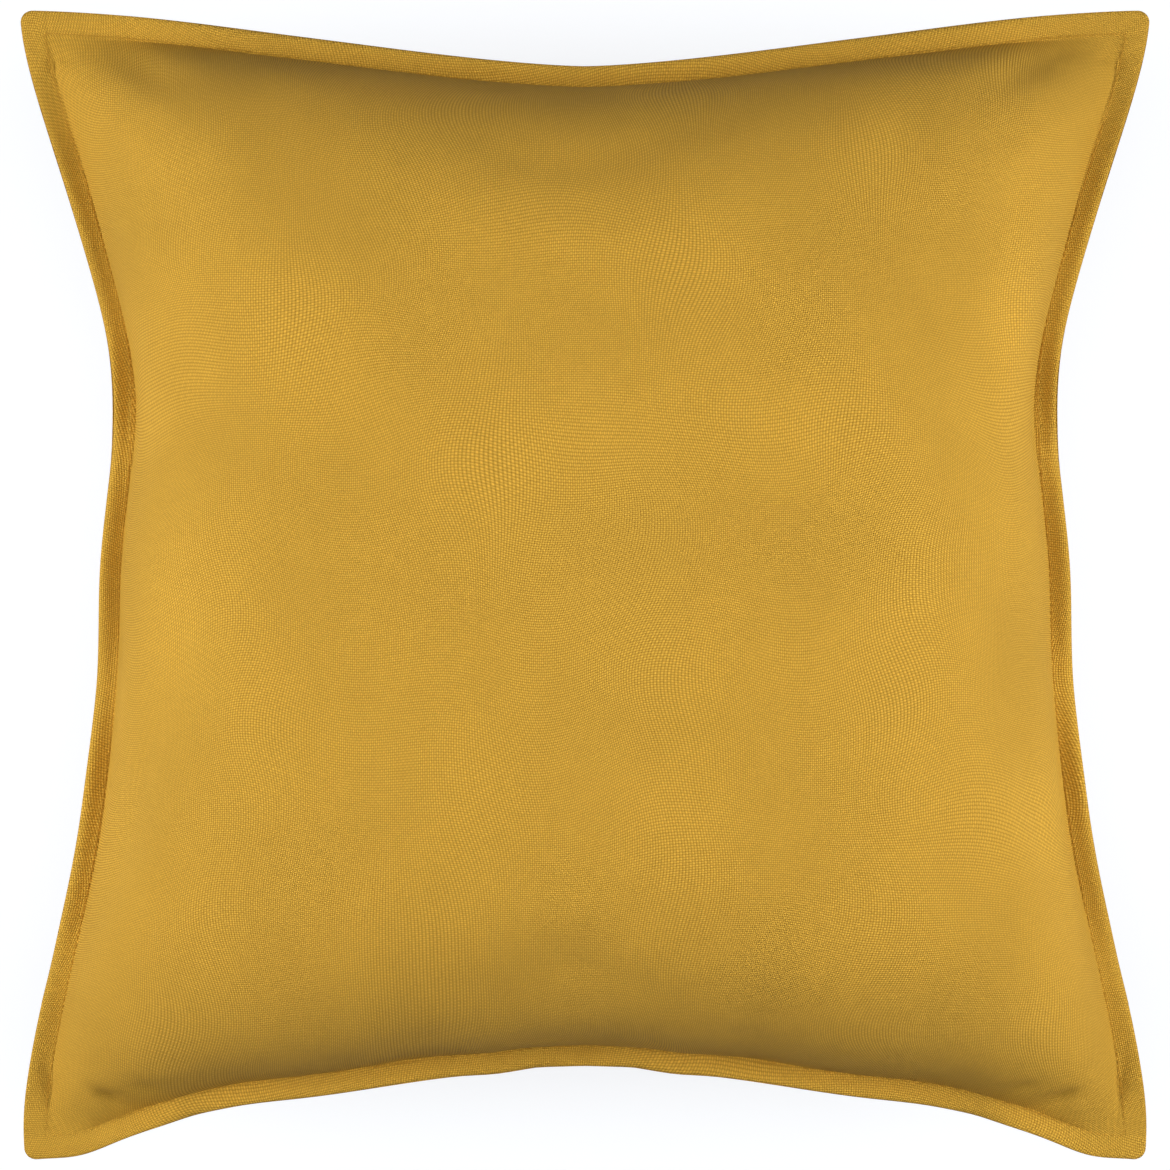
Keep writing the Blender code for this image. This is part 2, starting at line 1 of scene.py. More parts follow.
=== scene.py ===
"""Looks of a square throw pillow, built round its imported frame.

The cover is a flanged plain-weave canvas case, closed by a coil zip in its back, over a stuffed inner pad.
Every piece is placed from the frame: its outline from the whole box, the flange's height from the edge seam,
and the zip's arc from the zip's own joint and coils. All sizes are in metres unless a name says otherwise.
"""

import json
import logging
import math
from dataclasses import dataclass, field
from enum import Enum

import bmesh
import bpy
import numpy as np
from mathutils import Matrix, Vector


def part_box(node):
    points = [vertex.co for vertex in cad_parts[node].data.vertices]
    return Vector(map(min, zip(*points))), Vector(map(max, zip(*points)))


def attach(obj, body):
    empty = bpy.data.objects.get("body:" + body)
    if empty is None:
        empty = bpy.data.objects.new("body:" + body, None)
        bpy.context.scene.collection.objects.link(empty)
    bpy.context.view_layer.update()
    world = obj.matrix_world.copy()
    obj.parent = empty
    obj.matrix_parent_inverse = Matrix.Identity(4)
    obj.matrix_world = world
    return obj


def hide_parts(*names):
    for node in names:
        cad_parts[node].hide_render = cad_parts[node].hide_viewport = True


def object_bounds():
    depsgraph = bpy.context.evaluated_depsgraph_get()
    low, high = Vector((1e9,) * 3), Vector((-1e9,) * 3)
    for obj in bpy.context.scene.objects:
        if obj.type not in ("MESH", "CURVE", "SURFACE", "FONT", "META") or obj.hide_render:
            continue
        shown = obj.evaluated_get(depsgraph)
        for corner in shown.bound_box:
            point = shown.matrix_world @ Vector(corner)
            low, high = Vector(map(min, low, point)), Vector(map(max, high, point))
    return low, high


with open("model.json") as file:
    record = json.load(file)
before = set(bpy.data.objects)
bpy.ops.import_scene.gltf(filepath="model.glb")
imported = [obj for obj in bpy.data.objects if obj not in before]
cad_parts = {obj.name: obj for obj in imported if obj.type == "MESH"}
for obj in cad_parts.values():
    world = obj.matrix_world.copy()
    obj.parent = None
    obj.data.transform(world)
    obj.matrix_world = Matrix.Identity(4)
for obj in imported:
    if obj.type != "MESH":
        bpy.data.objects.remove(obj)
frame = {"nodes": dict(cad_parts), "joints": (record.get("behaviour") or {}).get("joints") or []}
CAD_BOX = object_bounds()
LOG = logging.getLogger("throw_pillow")
MM = 0.001
Array = np.ndarray
Material = bpy.types.Material
NodeTree = bpy.types.NodeTree
Object = bpy.types.Object
Socket = bpy.types.NodeSocket
SIMULATED_FRAMES = 20


class Facing(Enum):
    """Which way a sheet's outer face looks."""

    UP = 1
    DOWN = -1


class ZipSide(Enum):
    """The half of the zip, by the back panel that it is sewn to."""

    UPPER = 1
    LOWER = -1


class Mapping(Enum):
    """Where a finish reads its patterns: on the piece's own metres, or on its cloth map in metres."""

    OBJECT = "Object"
    CLOTH = "cloth"


# -------- node and colour helpers


def linear(hex_colour: str) -> tuple[float, float, float, float]:
    """Turns an sRGB hex colour to linear RGBA.

    Args:
        hex_colour: six hex digits, with or without a leading #.

    Returns:
        Red, green, blue and alpha, from 0 to 1.
    """
    digits = hex_colour.lstrip("#")
    channels = [int(digits[i : i + 2], 16) / 255 for i in (0, 2, 4)]
    flat = [c / 12.92 if c <= 0.04045 else ((c + 0.055) / 1.055) ** 2.4 for c in channels]
    return (*flat, 1.0)


def feed(tree: NodeTree, node: bpy.types.Node, links: dict) -> None:
    """Gives a node its inputs.

    Args:
        tree: the node's tree.
        node: the node.
        links: input name or index to an output socket, a node with one output, or a plain value.
    """
    for key, value in links.items():
        if isinstance(value, bpy.types.Node):
            value = value.outputs[0]
        if isinstance(value, Socket):
            tree.links.new(value, node.inputs[key])
        else:
            node.inputs[key].default_value = value


def add_node(tree: NodeTree, kind: str, links: dict | None = None, **settings) -> bpy.types.Node:
    """Adds a node to a shader or geometry tree, with its settings and the links into it.

    Args:
        tree: the node tree to add to.
        kind: the node's type name.
        links: its inputs, as feed takes them.
        **settings: attributes of the node itself, such as operation.

    Returns:
        The new node.
    """
    node = tree.nodes.new(kind)
    for name, value in settings.items():
        setattr(node, name, value)
    feed(tree, node, links or {})
    return node


class FinishTree:
    """A material's node tree, with short ways to add the nodes that the finishes share."""

    def __init__(self, name: str, mapping: Mapping) -> None:
        """Makes the material.

        Args:
            name: the material's name.
            mapping: where its patterns are read.
        """
        self.material = bpy.data.materials.new(name)
        self.material.use_nodes = True
        self.tree = self.material.node_tree
        self.shader = self.tree.nodes["Principled BSDF"]
        if mapping is Mapping.CLOTH:
            self.place = add_node(self.tree, "ShaderNodeUVMap", uv_map=mapping.value).outputs["UV"]
        else:
            self.place = add_node(self.tree, "ShaderNodeTexCoord").outputs[mapping.value]

    def math(self, operation: str, *values: Socket | float) -> Socket:
        """A number worked out from sockets or plain values."""
        return add_node(self.tree, "ShaderNodeMath", dict(enumerate(values)), operation=operation).outputs[0]

    def vector(self, operation: str, *values, **named) -> Socket:
        """A vector worked out from sockets or plain values."""
        links = dict(enumerate(values)) | named
        return add_node(self.tree, "ShaderNodeVectorMath", links, operation=operation).outputs[0]

    def noise(
        self, scale: float, detail: float, place: Socket | None = None, output: str = "Fac", **named
    ) -> Socket:
        """Cloudy noise, its scale in features to a metre, read at place or on the finish's own mapping."""
        links = {"Vector": self.place if place is None else place, "Scale": scale, "Detail": detail} | named
        return add_node(self.tree, "ShaderNodeTexNoise", links).outputs[output]

    def ridges(self, scale: float, distortion: float, detail: float) -> Socket:
        """Slanting ridges, by their bands to a metre and how unevenly they run."""
        links = {"Vector": self.place, "Scale": scale, "Distortion": distortion, "Detail": detail}
        return add_node(self.tree, "ShaderNodeTexWave", links, bands_direction="DIAGONAL").outputs["Fac"]

    def mix(self, share: Socket, low: tuple, high: tuple) -> Socket:
        """A colour between two linear colours."""
        return add_node(self.tree, "ShaderNodeMix", {0: share, 6: low, 7: high}, data_type="RGBA").outputs[2]

    def tones(self, share: Socket, colour: str, darkest: float) -> Socket:
        """A colour that falls to a darker tone of itself where the share is 0."""
        high = linear(colour)
        return self.mix(share, tuple(channel * darkest for channel in high[:3]) + (1.0,), high)

    def finished(
        self, inputs: dict, height: Socket | None = None, relief: float = 0.0
    ) -> Material:
        """Sets the shader's inputs and its relief.

        Args:
            inputs: the shader's inputs, as feed takes them.
            height: the surface's height, if it has relief.
            relief: how far the height reaches, in metres.

        Returns:
            The material.
        """
        if height is not None:
            bump = add_node(self.tree, "ShaderNodeBump", {"Height": height, "Distance": relief})
            inputs = inputs | {"Normal": bump}
        feed(self.tree, self.shader, inputs)
        return self.material


# -------- finishes


@dataclass(frozen=True)
class CottonCanvas:
    """Cotton canvas, plain woven and piece dyed: round yarns pass over and under each other.

    The eye sees a matt chequer of yarn crowns with gaps in painted shade, whose lines swirl because the cloth
    was never pressed square. The real yarns lie about 0.7 mm apart. They are drawn at 0.9 mm, coarse enough
    to show.
    """

    name: str = "cotton_canvas_plain_weave"
    crown_colour: str = "E3B345"
    shaded_gap_colour: str = "8E6214"
    weft_shade: float = 0.90
    yarn_pitch: float = 0.90 * MM
    swirl_size: float = 72.0 * MM
    swirl_reach: float = 19.0 * MM
    relief: float = 0.36 * MM
    tone_spread: float = 0.07
    slub_scale: float = 900.0
    slub_tone: tuple[float, float] = (0.35, 0.82)
    slub_relief: float = 0.25
    patch_scale: float = 28.0

    def build(self) -> Material:
        """Builds the material.

        Returns:
            The canvas material, which reads the piece's cloth map in metres.
        """
        tree = FinishTree(self.name, Mapping.CLOTH)
        swirl = tree.noise(1 / self.swirl_size, 0.0, output="Color")
        centred = tree.vector("SUBTRACT", swirl, (0.5, 0.5, 0.5))
        reach = self.swirl_reach * 2
        pull = tree.vector("MULTIPLY_ADD", centred, (reach, reach, 0.0), tree.place)
        yarn = tree.vector("SCALE", pull, Scale=math.pi / self.yarn_pitch)
        split = add_node(tree.tree, "ShaderNodeSeparateXYZ", {0: yarn})
        wave_u = tree.math("SINE", split.outputs[0])
        wave_v = tree.math("SINE", split.outputs[1])
        warp = self._yarn_height(tree, wave_u, wave_v, 1.0)
        weft = self._yarn_height(tree, wave_v, wave_u, -1.0)
        weave = tree.math("MAXIMUM", warp, weft)

        slub = tree.noise(self.slub_scale, 3.0, pull)
        patch = tree.noise(self.patch_scale, 4.0, Roughness=0.6)
        tone = tree.math("MULTIPLY_ADD", patch, self.tone_spread * 2, 1 - self.tone_spread)
        both = tree.math("MULTIPLY", tone, tree.math("MULTIPLY_ADD", slub, *self.slub_tone))
        is_warp = tree.math("GREATER_THAN", warp, weft)
        set_tone = tree.math("MULTIPLY_ADD", is_warp, 1 - self.weft_shade, self.weft_shade)
        both = tree.math("MULTIPLY", both, set_tone)
        # Where the weave is low the colour falls to the darker gap colour: painted shade between the yarns.
        mixed = tree.mix(weave, linear(self.shaded_gap_colour), linear(self.crown_colour))
        toned = tree.vector("SCALE", mixed, Scale=both)
        height = tree.math("MULTIPLY_ADD", slub, self.slub_relief, weave)
        inputs = {"Base Color": toned, "Roughness": 0.88, "Specular IOR Level": 0.1}
        return tree.finished(inputs, height, self.relief)

    def _yarn_height(
        self, tree: FinishTree, across: Socket, along: Socket, sign: float
    ) -> Socket:
        """Height of one set of yarns: round across each yarn, rising and dipping along it.

        Args:
            tree: the material's tree.
            across: the wave across the yarns.
            along: the wave along them.
            sign: 1 for the warp and -1 for the weft, which dips where the warp rises.

        Returns:
            A socket with the height, from 0 to 1.
        """
        fuller = tree.math("POWER", tree.math("ABSOLUTE", across), 0.6)
        rise = tree.math("MULTIPLY", along, tree.math("SIGN", across))
        return tree.math("MULTIPLY", fuller, tree.math("MULTIPLY_ADD", rise, 0.45 * sign, 0.55))


@dataclass(frozen=True)
class SpunThread:
    """Spun polyester sewing thread, twisted from two plies: a satin strand with fine slanting ridges."""

    name: str
    colour: str
    twist: float = 0.9 * MM
    relief: float = 0.06 * MM

    def build(self) -> Material:
        """Builds the thread, whose ridges slant across Object coordinates."""
        tree = FinishTree(self.name, Mapping.OBJECT)
        ridge = tree.ridges(1 / self.twist, 1.2, 1.0)
        # The colour darkens in the grooves between the ridges: painted shade in the twist's hollows.
        tone = tree.tones(ridge, self.colour, 0.72)
        inputs = {"Base Color": tone, "Roughness": 0.7, "Specular IOR Level": 0.2}
        return tree.finished(inputs, ridge, self.relief)


@dataclass(frozen=True)
class TwillTape:
    """Woven polyester zip tape: a narrow twill whose slanting ribs give a close, slightly shiny stripe."""

    name: str = "woven_polyester_zip_tape"
    colour: str = "B98A2C"
    rib_pitch: float = 0.5 * MM
    relief: float = 0.1 * MM

    def build(self) -> Material:
        """Builds the tape, which reads the piece's cloth map in metres."""
        tree = FinishTree(self.name, Mapping.CLOTH)
        rib = tree.ridges(0.31 / self.rib_pitch, 0.3, 2.0)
        height = tree.math("MULTIPLY_ADD", tree.noise(1500.0, 2.0), 0.4, rib)
        # The colour darkens between the ribs: painted shade in the twill's hollows.
        inputs = {"Base Color": tree.tones(rib, self.colour, 0.6), "Roughness": 0.7, "Sheen Weight": 0.1}
        return tree.finished(inputs, height, self.relief)


@dataclass(frozen=True)
class DrawnNylon:
    """Nylon monofilament, drawn and heat set into a coil: smooth, faintly clouded, with soft highlights."""

    name: str = "drawn_nylon_zip_coil"
    colour: str = "C39535"

    def build(self) -> Material:
        """Builds the nylon."""
        tree = FinishTree(self.name, Mapping.OBJECT)
        cloud = tree.noise(400.0, 2.0)
        tone = tree.tones(cloud, self.colour, 0.85)
        rough = tree.math("MULTIPLY_ADD", cloud, 0.15, 0.28)
        return tree.finished({"Base Color": tone, "Roughness": rough, "IOR": 1.53})


@dataclass(frozen=True)
class NickelPlate:
    """Zinc die casting, barrelled and nickel plated: a warm grey metal with tumbling marks and soft edges."""

    name: str = "nickel_plated_zinc"
    colour: str = "B9B4A8"
    relief: float = 0.015 * MM

    def build(self) -> Material:
        """Builds the plated metal."""
        tree = FinishTree(self.name, Mapping.OBJECT)
        marks = tree.noise(1800.0, 4.0)
        wear = tree.noise(300.0, 2.0)
        tone = tree.tones(wear, self.colour, 0.7)
        rough = tree.math("MULTIPLY_ADD", wear, 0.2, 0.22)
        return tree.finished({"Base Color": tone, "Roughness": rough, "Metallic": 1.0}, marks, self.relief)


@dataclass(frozen=True)
class PaleCloth:
    """A pale cloth for pieces inside the cover, with its own pattern of points or ribs in relief."""

    name: str
    colour: str
    pattern_pitch: float
    relief: float
    roughness: float
    sheen: float

    def build(self) -> Material:
        """Builds the material.

        Returns:
            The pale cloth, which reads the piece's cloth map in metres.
        """
        tree = FinishTree(self.name, Mapping.CLOTH)
        links = {"Vector": tree.place, "Scale": 1 / self.pattern_pitch, "Randomness": 0.15}
        points = add_node(tree.tree, "ShaderNodeTexVoronoi", links, feature="SMOOTH_F1").outputs["Distance"]
        height = tree.math("MULTIPLY_ADD", tree.noise(700.0, 4.0), 0.5, points)
        # The colour darkens where the relief is low: painted shade in the cloth's hollows.
        tone = tree.tones(height, self.colour, 0.86)
        inputs = {"Base Color": tone, "Roughness": self.roughness, "Sheen Weight": self.sheen}
        return tree.finished(inputs, height, self.relief)


@dataclass(frozen=True)
class PolyesterFibre:
    """Hollow polyester fibre, carded and blown: tangled fine strands that read as soft white wool."""

    name: str = "carded_polyester_fibre"
    colour: str = "F1F0EC"
    relief: float = 1.2 * MM

    def build(self) -> Material:
        """Builds the fibre."""
        tree = FinishTree(self.name, Mapping.OBJECT)
        tangle = tree.noise(220.0, 8.0, Roughness=0.7, Distortion=2.5)
        # The colour darkens where the tangle's relief is low: painted shade between the strands.
        inputs = {"Base Color": tree.tones(tangle, self.colour, 0.7), "Roughness": 0.95, "Sheen Weight": 0.4}
        return tree.finished(inputs, tangle, self.relief)


# -------- the pillow's form


@dataclass(frozen=True)
class Swell:
    """A local rise or dip along an edge: a bell curve over the share of the way along it."""

    height: float
    centre: float
    width: float

    def at(self, share: Array) -> Array:
        """The rise at each share."""
        return self.height * np.exp(-(((share - self.centre) / self.width) ** 2))


@dataclass(frozen=True)
class ClothFold:
    """A soft crease or dimple in stuffed cloth, as a bell-shaped trough along a short line.

    x and y are its middle in plan on the right half, and the left half has its mirror image. Its heading is
    in degrees from +X, and a negative depth is a ridge.
    """

    x: float
    y: float
    heading: float
    length: float
    width: float
    depth: float

    def at(self, x: Array, y: Array) -> Array:
        """How far the cloth drops at each place.

        Args:
            x: places across.
            y: places along.

        Returns:
            The drop, in metres.
        """
        turn = math.radians(self.heading)
        right = np.abs(x) - self.x
        along = right * math.cos(turn) + (y - self.y) * math.sin(turn)
        across = (y - self.y) * math.cos(turn) - right * math.sin(turn)
        return self.depth * np.exp(-((along / self.length) ** 2) - (across / self.width) ** 2)


@dataclass(frozen=True)
class Crumple:
    """Irregular soft unevenness: a seeded sum of plane waves of mixed lengths, about -1 to 1."""

    seed: int
    size: float
    waves: int = 14

    def at(self, x: Array, y: Array) -> Array:
        """The unevenness at each place.

        Args:
            x: places across.
            y: places along.

        Returns:
            The height at each place.
        """
        draw = np.random.default_rng(self.seed)
        total = np.zeros(np.broadcast(x, y).shape)
        low = (0.0, 0.6, 0.0)
        high = (math.tau, 1.8, math.tau)
        for heading, stretch, phase in draw.uniform(low, high, (self.waves, 3)):
            step = math.tau / (self.size * stretch)
            total += np.sin(step * (x * math.cos(heading) + y * math.sin(heading)) + phase)
        return total / math.sqrt(self.waves)


def bow(share: Array, inner: float, outer: float) -> Array:
    """How far an edge is pulled in: 1 in its flat middle, falling softly to 0 at its ends, -1 and 1."""
    return np.clip(1.0 - np.abs(share) ** inner, 0.0, None) ** outer


def smooth_fall(value: Array, start: float, end: float) -> Array:
    """The weight of each value: 1 up to start, falling smoothly to 0 at end."""
    t = np.clip((value - start) / (end - start), 0.0, 1.0)
    return 1.0 - t * t * (3.0 - 2.0 * t)


def shifted_along_normals(points: Array, drop: Array, facing: Facing) -> Array:
    """Moves a grid's points against the way that its outer face looks.

    Args:
        points: the grid's points, as rows, columns and XYZ.
        drop: how far each point sinks.
        facing: the way that the outer face looks.

    Returns:
        The moved points.
    """
    normals = np.cross(np.gradient(points, axis=1), np.gradient(points, axis=0))
    length = np.linalg.norm(normals, axis=2, keepdims=True)
    return points - facing.value * normals / np.maximum(length, 1e-12) * drop[..., None]


@dataclass
class PillowForm:
    """The filled cover's shape, over places (a, b) from -1 to 1 across it and along it.

    The edges bow in between the corners. Inside the seam the cloth domes up and down, and outside it the
    flange's two plies lie together, pinched at the stitch line and puffed by the turned seam allowance.
    """

    half_width: float
    half_length: float
    middle_height: float
    top_height: float
    flange_width: float = 9.5 * MM
    stitch_inset: float = 8.9 * MM
    pinch: float = 0.9 * MM
    puff: float = 2.0 * MM
    puff_fall: float = 5.6 * MM
    puff_start: float = 0.90
    puff_full: float = 0.58
    edge_round: float = 2.4 * MM
    corner_radius: float = 5.0 * MM
    back_crown: float = 79.0 * MM
    front_power: tuple[float, float] = (3.3, 5.0)
    back_power: tuple[float, float] = (2.4, 2.4)
    corner_softness: float = 1.0
    corner_reach: float = 6.5
    rest_softness: float = 2.0 * MM
    side_swells: tuple[Swell, ...] = (
        Swell(3.0 * MM, 0.38, 0.16),
        Swell(-1.7 * MM, 0.03, 0.13),
        Swell(1.1 * MM, -0.50, 0.20),
        Swell(2.0 * MM, -1.02, 0.08),
    )
    bottom_swells: tuple[Swell, ...] = (
        Swell(2.7 * MM, 0.64, 0.13),
        Swell(-3.2 * MM, 0.90, 0.07),
        Swell(-0.9 * MM, 0.16, 0.05),
    )
    side_tilts: tuple[Swell, ...] = (
        Swell(0.20, 0.36, 0.07),
        Swell(-0.26, 0.22, 0.045),
        Swell(0.16, 0.05, 0.11),
        Swell(-0.22, -0.17, 0.06),
        Swell(0.20, -0.33, 0.07),
        Swell(-0.24, -0.66, 0.06),
        Swell(0.14, 0.72, 0.12),
    )
    bottom_tilts: tuple[Swell, ...] = (
        Swell(0.24, 0.0, 0.06),
        Swell(-0.25, 0.085, 0.022),
        Swell(0.12, 0.40, 0.16),
        Swell(-0.38, 0.70, 0.035),
        Swell(0.20, 0.80, 0.06),
    )
    top_tilts: tuple[Swell, ...] = (
        Swell(0.12, 0.0, 0.30),
        Swell(-0.14, 0.55, 0.10),
        Swell(0.10, 0.78, 0.08),
    )
    front_folds: tuple[ClothFold, ...] = (
        ClothFold(168.0 * MM, 152.0 * MM, 52.0, 44.0 * MM, 17.0 * MM, 3.4 * MM),
        ClothFold(172.0 * MM, 62.0 * MM, 80.0, 26.0 * MM, 11.0 * MM, 1.6 * MM),
        ClothFold(166.0 * MM, -20.0 * MM, 86.0, 30.0 * MM, 9.0 * MM, 1.0 * MM),
        ClothFold(176.0 * MM, -96.0 * MM, 104.0, 30.0 * MM, 11.0 * MM, 1.8 * MM),
        ClothFold(170.0 * MM, 199.0 * MM, 31.0, 20.0 * MM, 8.0 * MM, 2.4 * MM),
        ClothFold(171.0 * MM, 168.0 * MM, 45.0, 26.0 * MM, 8.0 * MM, -1.4 * MM),
        ClothFold(184.0 * MM, -199.0 * MM, 24.0, 8.0 * MM, 3.2 * MM, 3.0 * MM),
        ClothFold(168.0 * MM, -194.0 * MM, 14.0, 6.0 * MM, 2.6 * MM, 1.6 * MM),
        ClothFold(208.0 * MM, -194.0 * MM, 84.0, 9.0 * MM, 1.8 * MM, 1.3 * MM),
        ClothFold(207.0 * MM, 202.0 * MM, 90.0, 3.0 * MM, 1.8 * MM, 1.2 * MM),
        ClothFold(202.0 * MM, 204.5 * MM, 30.0, 3.0 * MM, 1.6 * MM, 1.0 * MM),
        ClothFold(120.0 * MM, 170.0 * MM, 68.0, 30.0 * MM, 13.0 * MM, 1.8 * MM),
        ClothFold(66.0 * MM, -164.0 * MM, 98.0, 24.0 * MM, 11.0 * MM, 1.6 * MM),
        ClothFold(30.0 * MM, -160.0 * MM, 84.0, 22.0 * MM, 9.0 * MM, 1.2 * MM),
    )

    @classmethod
    def from_frame(cls) -> "PillowForm":
        """Reads the cover's size from the whole box, and the flange's height from the edge seam.

        Returns:
            The form.
        """
        high = CAD_BOX[1]
        seam_low, seam_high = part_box("perimeter_seam_thread")
        return cls(high.x, high.y, (seam_low.z + seam_high.z) / 2, high.z)

    @property
    def seam_a(self) -> float:
        """The seam's place across the cover."""
        return 1.0 - self.flange_width / self.half_width

    @property
    def seam_b(self) -> float:
        """The seam's place along the cover."""
        return 1.0 - self.flange_width / self.half_length

    def plan(self, a: Array, b: Array) -> tuple[Array, Array]:
        """X and Y of each place, with rounded corners.

        Args:
            a: places across.
            b: places along.

        Returns:
            The X and Y arrays.
        """
        u = np.clip(1.0 - (1.0 - np.abs(a)) * self.half_width / self.corner_radius, 0.0, 1.0)
        v = np.clip(1.0 - (1.0 - np.abs(b)) * self.half_length / self.corner_radius, 0.0, 1.0)
        a = a - np.sign(a) * u * (1.0 - np.sqrt(1.0 - v * v / 2)) * self.corner_radius / self.half_width
        b = b - np.sign(b) * v * (1.0 - np.sqrt(1.0 - u * u / 2)) * self.corner_radius / self.half_length
        side = 32.5 * MM * bow(b, 2.6, 1.8) * (1.0 + 0.42 * b)
        side = side + sum(swell.at(b) for swell in self.side_swells)
        top = 21.8 * MM * bow(a, 1.5, 1.75)
        bottom = 36.6 * MM * bow(a, 1.5, 1.05)
        bottom = bottom + sum(swell.at(np.abs(a)) for swell in self.bottom_swells)
        x = a * (self.half_width - side)
        y = b * self.half_length - top * ((1.0 + b) / 2.0) ** 1.5 + bottom * ((1.0 - b) / 2.0) ** 1.5
        return x, y

    def dome(self, a: Array, b: Array, power: tuple[float, float]) -> Array:
        """The stuffed height, 1 at the crown and 0 on the flange, which rises softly out of the corners.

        Args:
            a: places across.
            b: places along.
            power: how flat the crown is across and along.

        Returns:
            The height at each place.
        """
        a = np.minimum(np.abs(a / self.seam_a), 1.0)
        b = np.minimum(np.abs(b / self.seam_b), 1.0)
        across = (1.0 - a ** power[0]) ** (0.5 + 0.5 * self.corner_softness * b**self.corner_reach)
        along = (1.0 - b ** power[1]) ** (0.5 + 0.5 * self.corner_softness * a**self.corner_reach)
        return across * along

    def flange_half_thickness(self, a: Array, b: Array) -> Array:
        """Height of the flange's outer face above its middle: round at the edge and pinched at the stitches.

        Args:
            a: places across.
            b: places along.

        Returns:
            The half thickness at each place.
        """
        inset = np.minimum((1.0 - np.abs(a)) * self.half_width, (1.0 - np.abs(b)) * self.half_length)
        round_share = np.sqrt(1.0 - (1.0 - np.clip(inset / self.edge_round, 0.0, 1.0)) ** 2)
        full = smooth_fall(inset, self.stitch_inset - self.puff_fall, self.stitch_inset - 0.3 * MM)
        full = full * smooth_fall(np.minimum(np.abs(a), np.abs(b)), self.puff_full, self.puff_start)
        return round_share * (self.pinch + (self.puff - self.pinch) * full)

    def flange_lift(self, a: Array, b: Array) -> Array:
        """How far the flange waves up or down, growing from the seam to its edge.

        Args:
            a: places across.
            b: places along.

        Returns:
            The lift at each place.
        """
        beyond_side = np.clip(np.abs(a) - self.seam_a, 0.0, None) * self.half_width
        beyond_end = np.clip(np.abs(b) - self.seam_b, 0.0, None) * self.half_length
        side = sum(swell.at(b) for swell in self.side_tilts) * beyond_side
        bottom = sum(swell.at(np.abs(a)) for swell in self.bottom_tilts) * beyond_end
        top = sum(swell.at(np.abs(a)) for swell in self.top_tilts) * beyond_end
        return side + np.where(b < 0.0, bottom, top)

    def face(self, a: Array, b: Array, facing: Facing) -> Array:
        """Points of the cover's outer face.

        Args:
            a: places across.
            b: places along.
            facing: the front, which looks up, or the back, which looks down.

        Returns:
            The points, with XYZ last.
        """
        x, y = self.plan(a, b)
        middle = self.middle_height + self.flange_lift(a, b)
        thick = self.flange_half_thickness(a, b)
        if facing is Facing.UP:
            crown = self.top_height - self.middle_height - self.pinch
            z = middle + thick + crown * self.dome(a, b, self.front_power)
        else:
            z = middle - thick - self.back_crown * self.dome(a, b, self.back_power)
            z = (z + np.sqrt(z * z + self.rest_softness**2)) / 2
        return np.stack([x, y, z], axis=-1)

    def fold_drop(self, points: Array) -> Array:
        """How far the front's creases drop at each of its points."""
        return sum(fold.at(points[..., 0], points[..., 1]) for fold in self.front_folds)


def rotated(vectors: Array, axis: Array, angles: Array) -> Array:
    """Turns vectors about an axis through the origin.

    Args:
        vectors: the vectors, with XYZ last.
        axis: the axis, as a unit vector.
        angles: the angle for each vector.

    Returns:
        The turned vectors.
    """
    c = np.cos(angles)[..., None]
    s = np.sin(angles)[..., None]
    return vectors * c + np.cross(axis, vectors) * s + axis * (vectors @ axis)[..., None] * (1.0 - c)


